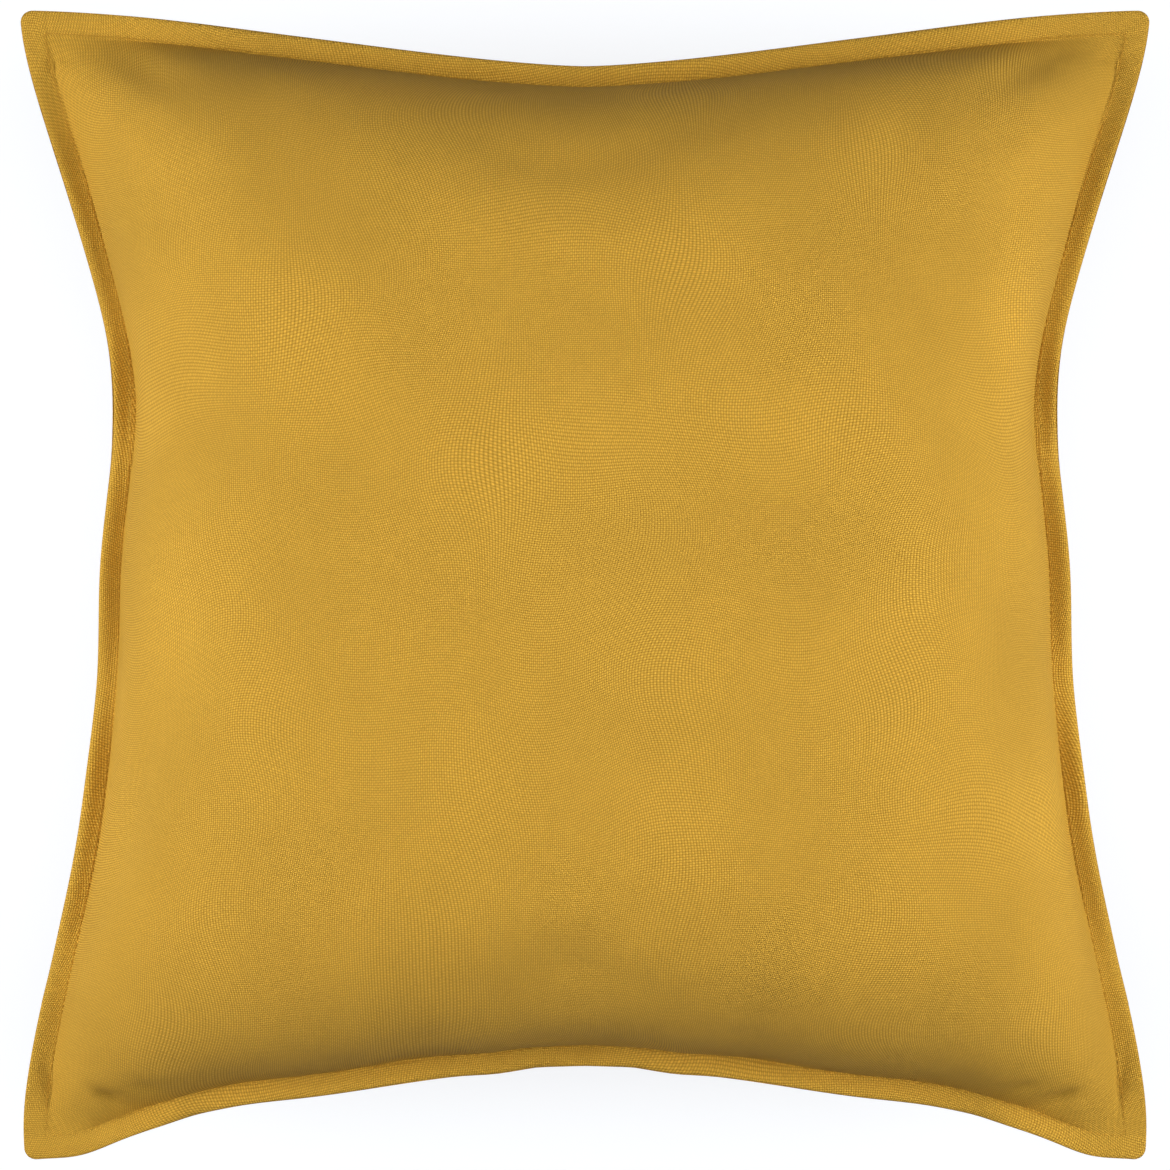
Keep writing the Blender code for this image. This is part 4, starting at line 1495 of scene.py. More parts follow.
@dataclass
class Cover:
    """The flanged case: its front, its two back panels on either side of the zip, its seams and its label."""

    form: PillowForm
    zip: ZipArc
    canvas: Material
    sewing: Material
    satin: Material
    stitches: StitchRow
    cloth: float = 0.8 * MM
    ply_gap: float = 0.08 * MM
    cells: int = 68
    flange_cells: int = 8
    simulated_cells: int = 36
    zip_row: float = -0.73
    slot_half: float = 3.5 * MM
    closed_slot_half: float = 0.25 * MM
    tack_clear: float = 3.0 * MM
    slot_closed_past: float = 7.5 * MM
    slot_close_length: float = 12.0 * MM
    band_flat: float = 15.0 * MM
    band_fade_upper: float = 48.0 * MM
    band_fade_lower: float = 27.0 * MM
    lip_round: float = 0.9 * MM
    inflation: Inflation = field(init=False)

    def __post_init__(self) -> None:
        """Prepares the simulation, with the cloth along the zip held still."""
        places = seam_spaced(self.simulated_cells)
        a, b = np.meshgrid(self.form.seam_a * places, self.form.seam_b * places)
        upper, lower = (self._strip(a, b, side)[0] for side in ZipSide)
        held = np.where(b > self.zip_row, upper, lower)
        self.inflation = Inflation(self.form, held, self.simulated_cells)

    def _strip(self, a: Array, b: Array, side: ZipSide) -> tuple[Array, Array, Array]:
        """Where the back's cloth follows the zip's arc.

        Args:
            a: places across.
            b: places along.
            side: the panel.

        Returns:
            How closely each place follows the arc, its angle along the arc, and its offset across it.
        """
        form = self.form
        step = 0.01
        rows = (np.array([self.zip_row + s]) for s in (-step, step))
        low, high = (form.face(np.zeros(1), row, Facing.DOWN)[0] for row in rows)
        stretch = np.linalg.norm(high - low) / (2 * step)
        face = self.zip.points(0.0, 0.0, self.zip.face_n) - self.zip.centre
        radius = np.linalg.norm(face - self.zip.axis * (face @ self.zip.axis))
        angle = np.arcsin(form.plan(a, np.full_like(a, self.zip_row))[0] / radius)
        past_end = np.abs(angle) * radius - self.zip.length / 2
        seam_angle = np.arcsin(form.plan(np.array([form.seam_a]), np.array([self.zip_row]))[0][0] / radius)
        open_share = smooth_fall(past_end, self.tack_clear, self.slot_closed_past)
        slot = self.closed_slot_half + (self.slot_half - self.closed_slot_half) * open_share
        offset = (b - self.zip_row) * stretch + side.value * slot
        fade = self.band_fade_upper if side is ZipSide.UPPER else self.band_fade_lower
        share = smooth_fall(np.abs(offset), self.band_flat, fade)
        seam_past_end = seam_angle * radius - self.zip.length / 2
        share = share * smooth_fall(past_end, self.slot_close_length, seam_past_end)
        return share, angle, offset

    def back_face(self, columns: Array, rows: Array, side: ZipSide) -> Array:
        """Points of a back panel's outer face.

        Args:
            columns: places across.
            rows: places along.
            side: the panel.

        Returns:
            The points, as rows, columns and XYZ.
        """
        a, b = np.meshgrid(columns, rows)
        share, angle, offset = self._strip(a, b, side)
        base = self.form.face(a, b, Facing.DOWN)
        base = base + self.inflation.at(columns, rows, Facing.DOWN) * (1.0 - share[..., None])
        base[..., 2] = np.maximum(base[..., 2], 0.02 * MM)
        base[..., 1] += side.value * self.closed_slot_half * smooth_fall(np.abs(offset), 0.0, self.band_flat)
        from_edge = (b - self.zip_row) * side.value * self.form.half_length
        turned = 1.0 - np.clip(from_edge / self.lip_round, 0.0, 1.0)
        n = self.zip.face_n - self.lip_round * (1.0 - np.sqrt(1.0 - 0.9 * turned**2))
        pulled = self.zip.points(angle, offset, n)
        return base + (pulled - base) * share[..., None]

    def front_face(self, columns: Array, rows: Array) -> Array:
        """Points of the front panel's outer face.

        Args:
            columns: places across.
            rows: places along.

        Returns:
            The points, as rows, columns and XYZ.
        """
        a, b = np.meshgrid(columns, rows)
        points = self.form.face(a, b, Facing.UP) + self.inflation.at(columns, rows, Facing.UP)
        return shifted_along_normals(points, self.form.fold_drop(points), Facing.UP)

    def room(self, columns: Array, rows: Array) -> Array:
        """The room for one ply above or below the flange's middle, which widens to a lot inside the seam.

        Args:
            columns: places across.
            rows: places along.

        Returns:
            The room at each place.
        """
        a, b = np.meshgrid(columns, rows)
        inside = self.cloth * 9 * self.form.dome(a, b, (2.0, 2.0))
        return self.form.flange_half_thickness(a, b) - self.ply_gap + inside

    def build(self) -> None:
        """Builds every piece of the cover."""
        self.inflation.run()
        self.build_front()
        self.build_back()
        self.build_seams()
        self.build_label()

    def build_front(self) -> None:
        """The front panel, out to the flange's turned edge."""
        columns = cover_places(self.form.seam_a, self.cells, self.flange_cells)
        rows = cover_places(self.form.seam_b, self.cells, self.flange_cells)
        points = self.front_face(columns, rows)
        room = self.room(columns, rows)
        front = cloth_sheet("cover_front", points, Facing.UP, self.cloth, self.canvas, room)
        dress(front, "cushion", "cover_canvas", "front_panel")

    def build_back(self) -> None:
        """The two back panels, whose inner edges are turned under beside the zip."""
        columns = cover_places(self.form.seam_a, self.cells, self.flange_cells)
        rows = cover_places(self.form.seam_b, self.cells, self.flange_cells)
        gap = 1.2 * self.lip_round / self.form.half_length
        lip = self.lip_round / self.form.half_length * np.array([0.0, 0.06, 0.2, 0.45, 1.0])
        for side in ZipSide:
            kept = rows[(rows - self.zip_row) * side.value > gap]
            edge = self.zip_row + side.value * lip
            panel_rows = np.sort(np.concatenate([kept, edge]))
            word = side.name.lower()
            points = self.back_face(columns, panel_rows, side)
            room = self.room(columns, panel_rows)
            panel = cloth_sheet(f"cover_back_{word}", points, Facing.DOWN, self.cloth, self.canvas, room)
            dress(panel, "cushion", "cover_canvas", f"back_{word}_panel")

    def ring(self, inset: float, height_share: float, lift: float) -> tuple[Array, Array]:
        """A closed line round the flange.

        Args:
            inset: its distance from the flange's edge.
            height_share: 1 for the upper face, -1 for the lower one and 0 for between the plies.
            lift: its height above that face.

        Returns:
            Its points and the outward direction at each.
        """
        form = self.form
        a, b = square_ring(120)
        a = a * (1.0 - inset / form.half_width)
        b = b * (1.0 - inset / form.half_length)
        x, y = form.plan(a, b)
        z = form.middle_height + form.flange_lift(a, b)
        z = z + height_share * (form.flange_half_thickness(a, b) + lift)
        up = -1.0 if height_share < 0 else 1.0
        return np.stack([x, y, z], axis=1), np.tile((0.0, 0.0, up), (len(a), 1))

    def build_seams(self) -> None:
        """The hidden seam inside the flange's edge, and the stitch line between flange and body."""
        inset = self.form.stitch_inset
        rows = (
            ("edge_seam_stitches", "perimeter_seam_thread", 2.2 * MM, 0.0, 0.0),
            ("flange_topstitches", "flange_topstitch_thread", inset, 1.0, 0.02 * MM),
            ("flange_bobbin_stitches", "flange_bobbin_thread", inset, -1.0, 0.02 * MM),
        )
        for name, node, from_edge, height_share, lift in rows:
            path, out = self.ring(from_edge, height_share, lift)
            stitches = self.stitches.run(
                name, path, True, {"out": out}, self.sewing, Thread_Radius=0.2 * MM, Rise=0.34 * MM
            )
            dress(stitches, "cushion", "sewing_thread", node)

    def build_label(self) -> None:
        """A blank woven label inside the back panel, held in the left side seam."""
        columns = np.linspace(-self.form.seam_a * 0.93, -self.form.seam_a * 0.66, 34)
        rows = np.linspace(-0.22, -0.10, 20)
        face = self.back_face(columns, rows, ZipSide.UPPER)
        curl = 0.3 * MM * np.sin(np.linspace(0.0, 3 * np.pi, len(columns)))
        sink = self.cloth + 1.3 * MM + curl + np.zeros((len(rows), 1))
        face = shifted_along_normals(face, sink, Facing.DOWN)
        label = cloth_sheet("care_label_blank", face, Facing.DOWN, 0.25 * MM, self.satin)
        dress(label, "cushion", "label_satin", "care_label")


# -------- zip


@dataclass
class CoilZip:
    """The zip in the back: two tapes with their coils and stitch lines, stops, bar tacks, slider and pull."""

    zip: ZipArc
    tape: Material
    nylon: Material
    metal: Material
    sewing: Material
    stitches: StitchRow
    spiral: CoilSpiral
    tape_inner: float = 1.7 * MM
    tape_outer: float = 12.0 * MM
    tape_cloth: float = 0.5 * MM
    tape_tail: float = 8.0 * MM
    coil_offset: float = 1.5 * MM
    stitch_offset: float = 6.5 * MM
    stop_half_height: float = 1.0 * MM
    stop_inner: float = 0.5 * MM
    stop_outer: float = 2.3 * MM
    tack_width: float = 9.0 * MM
    tack_length: float = 2.0 * MM
    slider_length: float = 8.0 * MM
    slider_width: float = 6.0 * MM
    plate_near: float = 1.1 * MM
    plate_thickness: float = 1.0 * MM
    bridge_length: float = 6.0 * MM
    bridge_clear: float = 2.0 * MM
    bar_height: float = 0.8 * MM
    bridge_width: float = 1.0 * MM
    tab_length: float = 20.0 * MM
    tab_width: float = 5.0 * MM
    tab_neck: float = 3.8 * MM
    tab_thickness: float = 1.0 * MM

    def build(self) -> None:
        """Builds every piece of the zip."""
        for side in ZipSide:
            self.build_tape(side)
            self.build_coil(side)
            self.build_stitch_line(side)
            self.build_top_stop(side)
        self.build_bottom_stop()
        self.build_bar_tacks()
        self.build_slider()
        self.build_pull_tab()

    def line(self, offset: float, n: float, trim: float, points: int) -> tuple[Array, dict[str, Array]]:
        """A line along the zip with its directions.

        Args:
            offset: its distance across from the zip's middle.
            n: its height out of the coils.
            trim: how much shorter it is than the zip at each end.
            points: how many points it has.

        Returns:
            Its points, and the directions "across" and "out" at each.
        """
        reach = self.zip.half_angle - trim / self.zip.radius
        angles = np.linspace(-reach, reach, points)
        _, across, out = self.zip.directions(angles)
        return self.zip.points(angles, offset, n), {"across": across, "out": out}

    def build_tape(self, side: ZipSide) -> None:
        """One woven tape, with a slightly thicker inner edge that the coil is sewn to."""
        reach = self.zip.half_angle + self.tape_tail / self.zip.radius
        angles, shares = np.meshgrid(np.linspace(-reach, reach, 240), np.linspace(0.0, 1.0, 12))
        low, high = sorted((side.value * self.tape_inner, side.value * self.tape_outer))
        offsets = low + (high - low) * shares
        ribs = 0.05 * MM * np.cos(math.tau * np.abs(offsets) / (2.6 * MM))
        points = self.zip.points(angles, offsets, self.tape_cloth / 2 + ribs)
        node = f"zip_tape_{side.name.lower()}"
        tape = cloth_sheet(f"{node}_woven", points, Facing.DOWN, self.tape_cloth, self.tape)
        dress(tape, "cushion", "zip_tape", node)

    def build_coil(self, side: ZipSide) -> None:
        """One coil of nylon wire, wound along the zip's inner edge."""
        trim = self.zip.stop_length + 0.7 * MM
        path, directions = self.line(side.value * self.coil_offset, 0.0, trim, 200)
        name = f"zip_coil_{side.name.lower()}"
        coil = self.spiral.run(f"{name}_wound", path, False, directions, self.nylon, Hand=float(side.value))
        dress(coil, "cushion", "zip_coil", name)

    def build_stitch_line(self, side: ZipSide) -> None:
        """The lockstitch that holds a tape to its back panel."""
        path, directions = self.line(side.value * self.stitch_offset, self.zip.face_n + 0.05 * MM, 0.0, 200)
        name = f"zip_stitch_{side.name.lower()}"
        row = self.stitches.run(f"{name}_row", path, False, {"out": directions["out"]}, self.sewing)
        dress(row, "cushion", "sewing_thread", name)

    def build_top_stop(self, side: ZipSide) -> None:
        """A folded metal clip over the end of one coil."""
        half = self.zip.stop_length / 2
        near, far = self.stop_inner, self.stop_outer
        corners = [(x, -side.value * y) for x, y in box_corners(-half, half, near, far)]
        wall = 0.35 * MM
        height = self.stop_half_height
        outline = rounded_outline(corners, 0.5 * MM)
        plates = [
            extruded("stop_outer_plate", [outline], height - wall, height, 0.1 * MM, self.metal),
            extruded("stop_inner_plate", [outline], -height, wall - height, 0.1 * MM, self.metal),
        ]
        fold = rounded_outline([(x, y * 0.35 - side.value * near * 0.65) for x, y in corners], 0.3 * MM)
        reach = height - 0.1 * MM
        plates.append(extruded("stop_fold", [fold], -reach, reach, 0.08 * MM, self.metal))
        stop = joined(f"zip_stop_top_{side.name.lower()}_clip", plates)
        stop.data.transform(self.zip.placement(self.zip.half_angle - half / self.zip.radius))
        dress(stop, "cushion", "zip_metal", f"zip_top_stop_{side.name.lower()}")

    def build_bottom_stop(self) -> None:
        """A metal clip across both coils at the zip's other end."""
        half = self.zip.stop_length / 2
        far = self.stop_outer
        outline = rounded_outline(box_corners(-half, half, -far, far), 0.6 * MM)
        wall = 0.35 * MM
        height = self.stop_half_height
        core = outline * (0.8, 0.9)
        plates = [
            extruded("stop_outer_plate", [outline], height - wall, height, 0.1 * MM, self.metal),
            extruded("stop_inner_plate", [outline], -height, wall - height, 0.1 * MM, self.metal),
            extruded("stop_core", [core], -height + 0.1 * MM, height - 0.1 * MM, 0.08 * MM, self.metal),
        ]
        stop = joined("zip_stop_bottom_clip", plates)
        stop.data.transform(self.zip.placement(half / self.zip.radius - self.zip.half_angle))
        dress(stop, "cushion", "zip_metal", "zip_bottom_stop")

    def build_bar_tacks(self) -> None:
        """A bar tack past each end of the zip: close cross stitches over the width of the slot."""
        reach = self.zip.half_angle + (self.tack_length / 2 + 1.5 * MM) / self.zip.radius
        for sign, word in ((-1.0, "left"), (1.0, "right")):
            offsets = np.linspace(-self.tack_width / 2, self.tack_width / 2, 12)
            angles = np.full_like(offsets, sign * reach)
            path = self.zip.points(angles, offsets, self.zip.face_n + 0.12 * MM)
            _, _, out = self.zip.directions(angles)
            tack = self.stitches.run(
                f"bar_tack_{word}_stitches",
                path,
                False,
                {"out": out},
                self.sewing,
                Stitch_Pitch=0.42 * MM,
                Stitch_Length=self.tack_length,
                Turn=math.pi / 2,
                Rise=0.75 * MM,
                Sink=0.25 * MM,
                Thread_Radius=0.24 * MM,
                Unevenness=0.16,
                Seed=11 + int(sign),
            )
            dress(tack, "cushion", "sewing_thread", f"bar_tack_{word}")

    def slider_outline(self) -> Array:
        """The slider plate's outline: broad shoulders at the mouth that narrow to the rear."""
        half = self.slider_length / 2
        wide = self.slider_width / 2
        waist = wide * 0.80
        side = [(-half, waist), (-half * 0.25, waist), (half * 0.35, wide), (half, wide)]
        corners = [(x, -y) for x, y in side] + [(half * 0.86, 0.0)] + side[::-1]
        return rounded_outline(corners, 1.3 * MM)

    def build_slider(self) -> None:
        """The slider: two plates with side lips, the post between the coils, and the arched bridge."""
        near, far = self.plate_near, self.plate_near + self.plate_thickness
        outline = self.slider_outline()
        parts = [
            extruded("slider_outer_plate", [outline], near, far, 0.22 * MM, self.metal),
            extruded("slider_inner_plate", [outline], -far, -near, 0.22 * MM, self.metal),
        ]
        half = self.slider_length / 2
        wide = self.slider_width / 2
        lip_drop = 0.5 * MM
        for side in (1.0, -1.0):
            lip = [(-half * 0.92, wide * 0.66), (-half * 0.3, wide * 0.66), (half * 0.34, wide * 0.87)]
            lip += [(half * 0.9, wide * 0.87), (half * 0.9, wide * 0.99), (half * 0.34, wide * 0.99)]
            lip += [(-half * 0.3, wide * 0.79), (-half * 0.92, wide * 0.79)]
            shape = rounded_outline([(x, side * y) for x, y in lip], 0.25 * MM, 3)
            for face in (1.0, -1.0):
                low, high = sorted((face * (near - lip_drop), face * (near + 0.3 * MM)))
                parts.append(extruded("slider_lip", [shape], low, high, 0.08 * MM, self.metal))
        post = rounded_outline(box_corners(1.0 * MM, 3.0 * MM, -0.3 * MM, 0.3 * MM), 0.25 * MM)
        reach = near + 0.2 * MM
        parts.append(extruded("slider_post", [post], -reach, reach, 0.05 * MM, self.metal))
        parts.append(self.bridge(far))
        slider = joined("zip_slider_cast", parts)
        slider.data.transform(self.zip.placement(self.zip.slider_angle))
        dress(slider, "zip_slider", "zip_metal", "zip_slider_body")

    def bridge(self, foot: float) -> Object:
        """The arched loop over the slider that the pull tab's end turns under.

        Args:
            foot: the height of the plate that it stands on.

        Returns:
            The bridge, along X.
        """
        reach = self.bridge_length / 2
        top = self.bridge_clear + self.bar_height
        bar = self.bar_height
        outer = [(-reach, -0.3 * MM), (-reach, top * 0.62), (-reach * 0.62, top), (reach * 0.62, top)]
        outer += [(reach, top * 0.62), (reach, -0.3 * MM)]
        inner = [(reach - bar, -0.3 * MM), (reach - bar, self.bridge_clear * 0.72)]
        top = reach * 0.62 - bar * 0.4
        inner += [(top, self.bridge_clear), (-top, self.bridge_clear)]
        inner += [(bar - reach, self.bridge_clear * 0.72), (bar - reach, -0.3 * MM)]
        outline = rounded_outline(outer + inner, 0.7 * MM, 4)
        half = self.bridge_width / 2
        arch = extruded("slider_bridge", [outline], -half, half, 0.16 * MM, self.metal)
        arch.data.transform(Matrix.Translation((0.0, 0.0, foot)) @ Matrix.Rotation(math.pi / 2, 4, "X"))
        return arch

    def build_pull_tab(self) -> None:
        """The pull tab, hanging from the bridge: a plate with a window, a raised rim and a grip of ribs."""
        half = self.tab_width / 2
        neck = self.tab_neck / 2
        thick = self.tab_thickness / 2
        window_end = 4.1 * MM
        side = [(-0.5 * MM, neck), (window_end, neck), (window_end + 1.2 * MM, half), (self.tab_length, half)]
        corners = [(x, -y) for x, y in side] + side[::-1]
        hole = box_corners(0.5 * MM, window_end, -0.85 * MM, 0.85 * MM)
        plate = extruded(
            "tab_plate",
            [rounded_outline(corners, 1.4 * MM), rounded_outline(hole, 0.3 * MM)],
            -thick * 0.72,
            thick * 0.72,
            0.2 * MM,
            self.metal,
        )
        parts = [plate]
        rim_start = 6.3 * MM
        rim_width = 1.0 * MM
        rim = box_corners(rim_start, self.tab_length, -half, half)
        within = half - rim_width
        inner_rim = box_corners(rim_start + rim_width, self.tab_length - rim_width, -within, within)
        outlines = [rounded_outline(rim, 1.4 * MM), rounded_outline(inner_rim, 0.9 * MM)]
        parts.append(extruded("tab_rim", outlines, -thick, thick, 0.15 * MM, self.metal))
        for step in range(5):
            x = (9.2 + 2.0 * step) * MM
            rib = box_corners(x, x + 0.7 * MM, -1.15 * MM, 1.15 * MM)
            outline = rounded_outline(rib, 0.3 * MM, 3)
            parts.append(extruded("tab_rib", [outline], -thick * 0.95, thick * 0.95, 0.12 * MM, self.metal))
        tab = joined("zip_pull_tab_stamped", parts)
        tab.data.transform(self.hanging_placement())
        dress(tab, "zip_pull", "zip_metal", "zip_pull_tab")

    def hanging_placement(self) -> Matrix:
        """The tab's matrix at rest: X along the tab from its pivot, Y along the pivot.

        Returns:
            The placement, read from the plain tab's points.
        """
        joint = next(j for j in frame["joints"] if j["name"] == "zip_pull_swing")
        pivot_axis = Vector(joint["axis"]).normalized()
        low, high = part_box("zip_pull_tab")
        hang = (low + high) / 2 - Vector(self.zip.pivot)
        hang = (hang - pivot_axis * hang.dot(pivot_axis)).normalized()
        turned = Matrix((hang, pivot_axis, hang.cross(pivot_axis))).transposed().to_4x4()
        return Matrix.Translation(self.zip.pivot) @ turned


# -------- inner pad


@dataclass
class InnerPad:
    """The stuffed pad inside the cover: two casing panels, their stitches, a blank tag and the filling."""

    form: PillowForm
    casing: Material
    sewing: Material
    fibre: Material
    satin: Material
    stitches: StitchRow
    ply: float = 0.6 * MM
    cloth: float = 0.4 * MM
    cells: int = 56
    margin: float = 5.0 * MM
    plan_share: float = 0.960
    corner_draw: float = 0.07
    height_share: float = 0.945
    front_crown: float = 81.0 * MM
    back_crown: float = 74.0 * MM
    dome_power: tuple[float, float] = (2.4, 2.4)
    fill_plan_share: float = 0.975
    fill_height_share: float = 0.970
    closing_length: float = 140.0 * MM

    def plan(self, a: Array, b: Array) -> tuple[Array, Array]:
        """X and Y of each place on the pad, whose corners don't quite fill the cover's.

        Args:
            a: places across the pad.
            b: places along it.

        Returns:
            The X and Y arrays.
        """
        x, y = self.form.plan(a * self.form.seam_a, b * self.form.seam_b)
        share = self.plan_share - self.corner_draw * (a * b) ** 4
        return x * share, y * share

    def face(self, columns: Array, rows: Array, facing: Facing) -> Array:
        """Points of the pad's outer face, gathered along its seam.

        Args:
            columns: places across.
            rows: places along.
            facing: the front or the back.

        Returns:
            The points, as rows, columns and XYZ.
        """
        form = self.form
        a, b = np.meshgrid(columns, rows)
        x, y = self.plan(a, b)
        inner = 1.0 - self.margin / form.half_width
        within = (np.minimum(np.abs(v) / inner, 1.0) for v in (a, b))
        places = (v * seam for v, seam in zip(within, (form.seam_a, form.seam_b)))
        height = form.dome(*places, self.dome_power)
        crown = self.front_crown if facing is Facing.UP else self.back_crown
        z = form.middle_height + facing.value * (self.ply + self.cloth + crown * self.height_share * height)
        points = np.stack([x, y, z], axis=-1)
        return shifted_along_normals(points, self.gathers(a, b, points, height, facing), facing)

    def gathers(self, a: Array, b: Array, points: Array, height: Array, facing: Facing) -> Array:
        """How far the thin casing sinks between the puckers along its seam, and over its soft lumps.

        Args:
            a: places across.
            b: places along.
            points: the smooth face.
            height: the dome's height there, from 0 to 1.
            facing: the front or the back.

        Returns:
            The drop at each point.
        """
        near_side = smooth_fall(1.0 - np.abs(a), 0.0, 0.30)
        near_end = smooth_fall(1.0 - np.abs(b), 0.0, 0.30)
        seed = 20 + facing.value
        x, y = points[..., 0], points[..., 1]
        side_pucker = Crumple(seed, 16.0 * MM).at(0.25 * x, y) * near_side
        end_pucker = Crumple(seed + 5, 16.0 * MM).at(x, 0.25 * y) * near_end
        lump = Crumple(seed + 9, 90.0 * MM).at(x, y)
        inside = smooth_fall(1.0 - height, 0.2, 1.0)
        return (0.5 * MM * np.abs(side_pucker + end_pucker) + 0.8 * MM * np.abs(lump)) * inside

    def build(self) -> None:
        """Builds every piece of the pad."""
        inner = 1.0 - self.margin / self.form.half_width
        places = np.concatenate([[-1.0], inner * seam_spaced(self.cells), [1.0]])
        for facing, word in ((Facing.UP, "front"), (Facing.DOWN, "back")):
            points = self.face(places, places, facing)
            points[..., 2] = np.maximum(points[..., 2], 1.8 * MM)
            panel = cloth_sheet(f"pad_casing_{word}", points, facing, self.cloth, self.casing)
            dress(panel, "cushion", "pad_casing", f"insert_{word}_casing")
        self.build_stitches()
        self.build_tag()
        self.build_filling(inner)

    def build_stitches(self) -> None:
        """The seam round the pad and the line that closed it after filling."""
        form = self.form
        edge = 1.0 - self.margin / 2 / form.half_width
        a, b = square_ring(90)
        x, y = self.plan(a * edge, b * edge)
        path = np.stack([x, y, np.full_like(x, form.middle_height)], axis=1)
        out = np.tile((0.0, 0.0, 1.0), (len(path), 1))
        seam = self.stitches.run("pad_seam_stitches", path, True, {"out": out}, self.sewing, Rise=0.3 * MM)
        dress(seam, "cushion", "pad_thread", "insert_seam_thread")

        a = np.linspace(-0.5, 0.5, 40) * self.closing_length / form.half_width
        x, y = self.plan(a, np.full_like(a, -edge))
        top = form.middle_height + self.ply + self.cloth + 0.05 * MM
        path = np.stack([x, y, np.full_like(x, top)], axis=1)
        out = np.tile((0.0, 0.0, 1.0), (len(path), 1))
        closing = self.stitches.run(
            "pad_closing_stitches",
            path,
            False,
            {"out": out},
            self.sewing,
            Stitch_Pitch=2.4 * MM,
            Stitch_Length=2.0 * MM,
        )
        dress(closing, "cushion", "pad_thread", "insert_closing_stitch")

    def build_tag(self) -> None:
        """A blank tag lying on the pad's front."""
        columns = np.linspace(0.74, 0.89, 24)
        face = self.face(columns, np.linspace(0.0, 0.10, 16), Facing.UP)
        face = shifted_along_normals(face, np.full(face.shape[:2], -0.8 * MM), Facing.UP)
        tag = cloth_sheet("pad_tag_blank", face, Facing.UP, 0.25 * MM, self.satin)
        dress(tag, "cushion", "label_satin", "insert_label")

    def build_filling(self, inner: float) -> None:
        """The blown fibre: one soft mass, with lumps where clumps of it lie.

        Args:
            inner: the pad's place where its dome starts.
        """
        form = self.form
        places = inner * seam_spaced(self.cells)
        faces = []
        for facing in Facing:
            points = self.face(places, places, facing)
            points[..., :2] *= self.fill_plan_share
            above = points[..., 2] - form.middle_height - facing.value * (self.ply + self.cloth)
            points[..., 2] = form.middle_height + above * self.fill_height_share
            lumps = np.abs(Crumple(40 + facing.value, 34.0 * MM).at(points[..., 0], points[..., 1]))
            thick = np.abs(points[..., 2] - form.middle_height) / self.front_crown
            faces.append(shifted_along_normals(points, 2.6 * MM * lumps * thick, facing))
        front, back = faces
        back[[0, -1]] = front[[0, -1]]
        back[:, [0, -1]] = front[:, [0, -1]]
        front[..., 2][[0, -1]] = form.middle_height
        front[..., 2][:, [0, -1]] = form.middle_height
        back[1:-1, 1:-1, 2] = np.maximum(back[1:-1, 1:-1, 2], 3.0 * MM)
        filling = closed_shell("pad_fibre_mass", front, back, self.fibre)
        dress(filling, "cushion", "pad_fibre", "fibre_filling")


# -------- studio


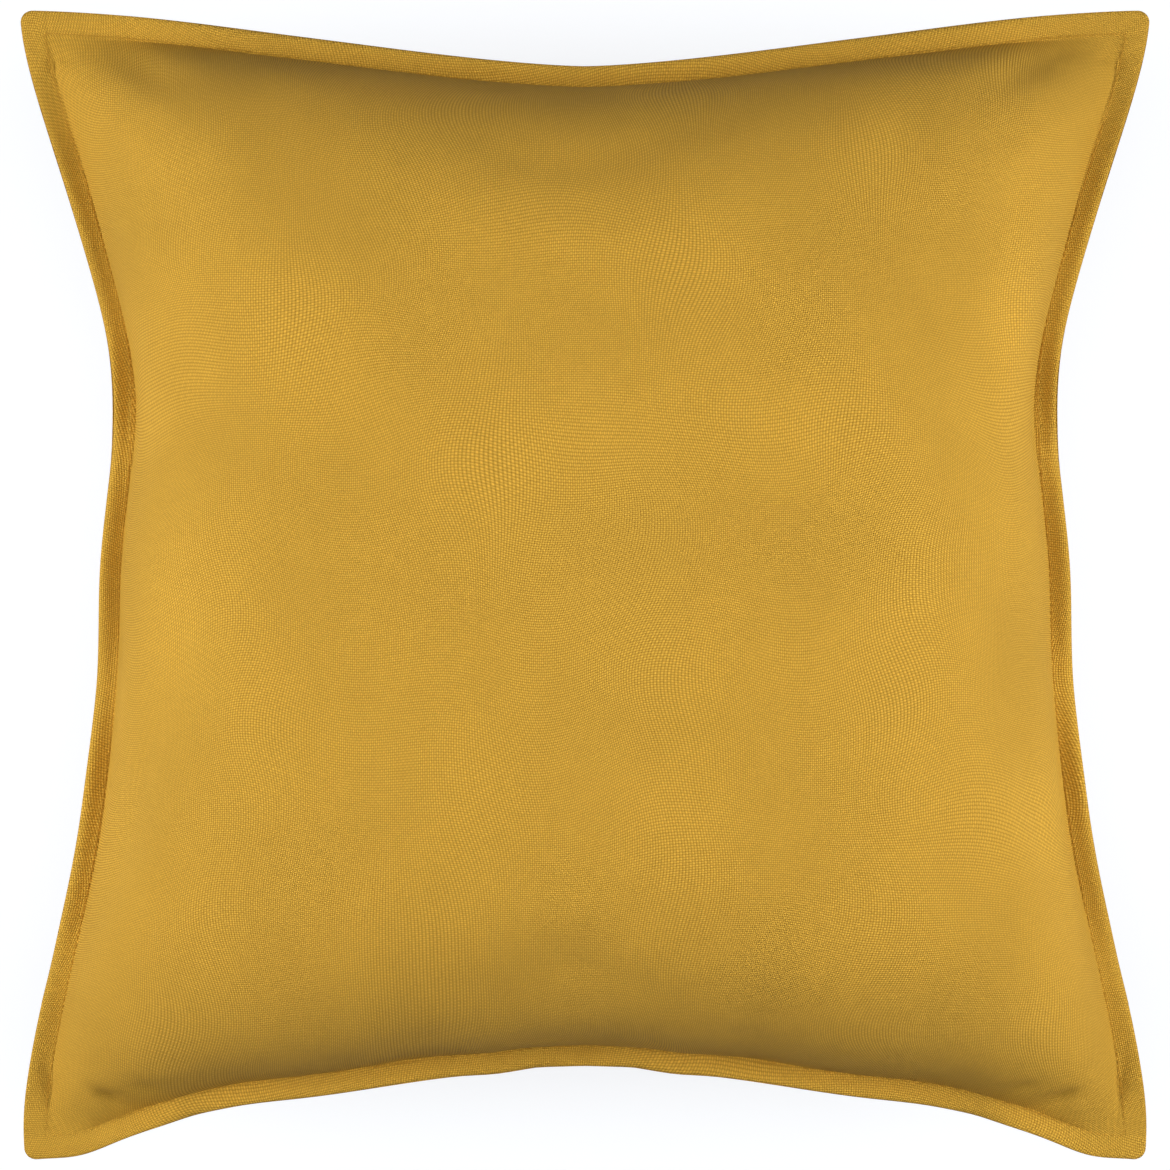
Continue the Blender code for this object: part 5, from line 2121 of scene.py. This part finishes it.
@dataclass
class Studio:
    """A pale floor, a soft light on each side, one overhead, and a camera that looks straight down."""

    flange_height: float
    view_width: float = 454.7 * MM
    lens: float = 135.0
    sensor: float = 36.0
    light_reach: float = 1.15
    light_tilt: float = 61.0
    light_spread: float = 76.0
    light_width: float = 0.8
    light_height: float = 0.7
    side_power: float = 2.9
    overhead_power: float = 4.8
    ambient: float = 0.08
    floor_half: float = 9.0

    def build(self) -> None:
        """Builds the studio."""
        self.build_floor()
        self.build_lights()
        self.build_camera()
        bpy.context.scene.view_settings.view_transform = "Standard"

    def build_floor(self) -> None:
        """A matt pale floor, softly lit from within so that shadows on it stay faint."""
        tree = FinishTree("painted_studio_floor", Mapping.OBJECT)
        inputs = {
            "Base Color": linear("85878A"),
            "Roughness": 0.95,
            "Specular IOR Level": 0.0,
            "Emission Color": linear("FBFCFE"),
            "Emission Strength": 0.81,
        }
        material = tree.finished(inputs, tree.noise(60.0, 3.0), 0.02 * MM)
        half = self.floor_half
        corners = np.array([(-half, -half, 0.0), (half, -half, 0.0), (half, half, 0.0), (-half, half, 0.0)])
        floor = mesh_from("studio_floor", corners - (0.0, 0.0, 0.1 * MM), np.array([[0, 1, 2, 3]]), material)
        # The floor's glow would light the flange from below, so diffuse light does not see it.
        floor.visible_diffuse = False

    def build_lights(self) -> None:
        """Two tall soft lights at the sides and a broad weak one overhead."""
        tilt = math.radians(self.light_tilt)
        for sign, word in ((-1.0, "left"), (1.0, "right")):
            place = Vector((sign * math.sin(tilt), 0.0, math.cos(tilt))) * self.light_reach
            self.add_light(f"soft_light_{word}", place, self.light_width, self.light_height, self.side_power)
        self.add_light("overhead_light", Vector((0.0, 0.0, 2.4)), 1.6, 1.6, self.overhead_power)
        world = bpy.data.worlds.new("studio_air")
        world.use_nodes = True
        background = world.node_tree.nodes["Background"]
        background.inputs["Color"].default_value = (1.0, 1.0, 1.0, 1.0)
        background.inputs["Strength"].default_value = self.ambient
        bpy.context.scene.world = world

    def add_light(self, name: str, place: Vector, width: float, height: float, power: float) -> None:
        """Adds an area light that faces the pillow.

        Args:
            name: its name.
            place: where it stands.
            width: its size across.
            height: its size along Y.
            power: its power in watts.
        """
        light = bpy.data.lights.new(name, "AREA")
        light.shape = "RECTANGLE"
        light.size = width
        light.size_y = height
        light.energy = power
        light.spread = math.radians(self.light_spread)
        lamp = linked(name, light)
        lamp.visible_camera = False
        lamp.location = place
        aim = Vector((0.0, 0.0, self.flange_height)) - place
        lamp.rotation_euler = aim.to_track_quat("-Z", "Y").to_euler()

    def build_camera(self) -> None:
        """The camera, far enough off that the flange's plane fills its view."""
        camera = bpy.data.cameras.new("camera")
        camera.lens = self.lens
        camera.sensor_width = self.sensor
        eye = linked("camera", camera)
        distance = self.view_width / 2 * self.lens / (self.sensor / 2)
        eye.location = (0.0, 0.0, self.flange_height + distance)
        bpy.context.scene.camera = eye


def main() -> None:
    """Builds the pillow and its studio."""
    logging.basicConfig(level=logging.INFO, format="%(name)s: %(message)s")
    form = PillowForm.from_frame()
    zip_arc = ZipArc.from_frame()
    stitches = StitchRow()
    canvas = CottonCanvas().build()
    sewing = SpunThread("spun_polyester_thread_mustard", "C6942C").build()
    pale_sewing = SpunThread("spun_polyester_thread_white", "E9E6DE").build()
    satin = PaleCloth("woven_satin_label", "EFECE4", 0.35 * MM, 0.04 * MM, 0.42, 0.2).build()
    casing = PaleCloth("point_bonded_nonwoven", "ECEAE4", 1.5 * MM, 0.12 * MM, 0.9, 0.25).build()

    Cover(form, zip_arc, canvas, sewing, satin, stitches).build()
    tape = TwillTape().build()
    nylon = DrawnNylon().build()
    metal = NickelPlate().build()
    CoilZip(zip_arc, tape, nylon, metal, sewing, stitches, CoilSpiral()).build()
    InnerPad(form, casing, pale_sewing, PolyesterFibre().build(), satin, stitches).build()
    Studio(form.middle_height).build()


if __name__ == "__main__":
    main()
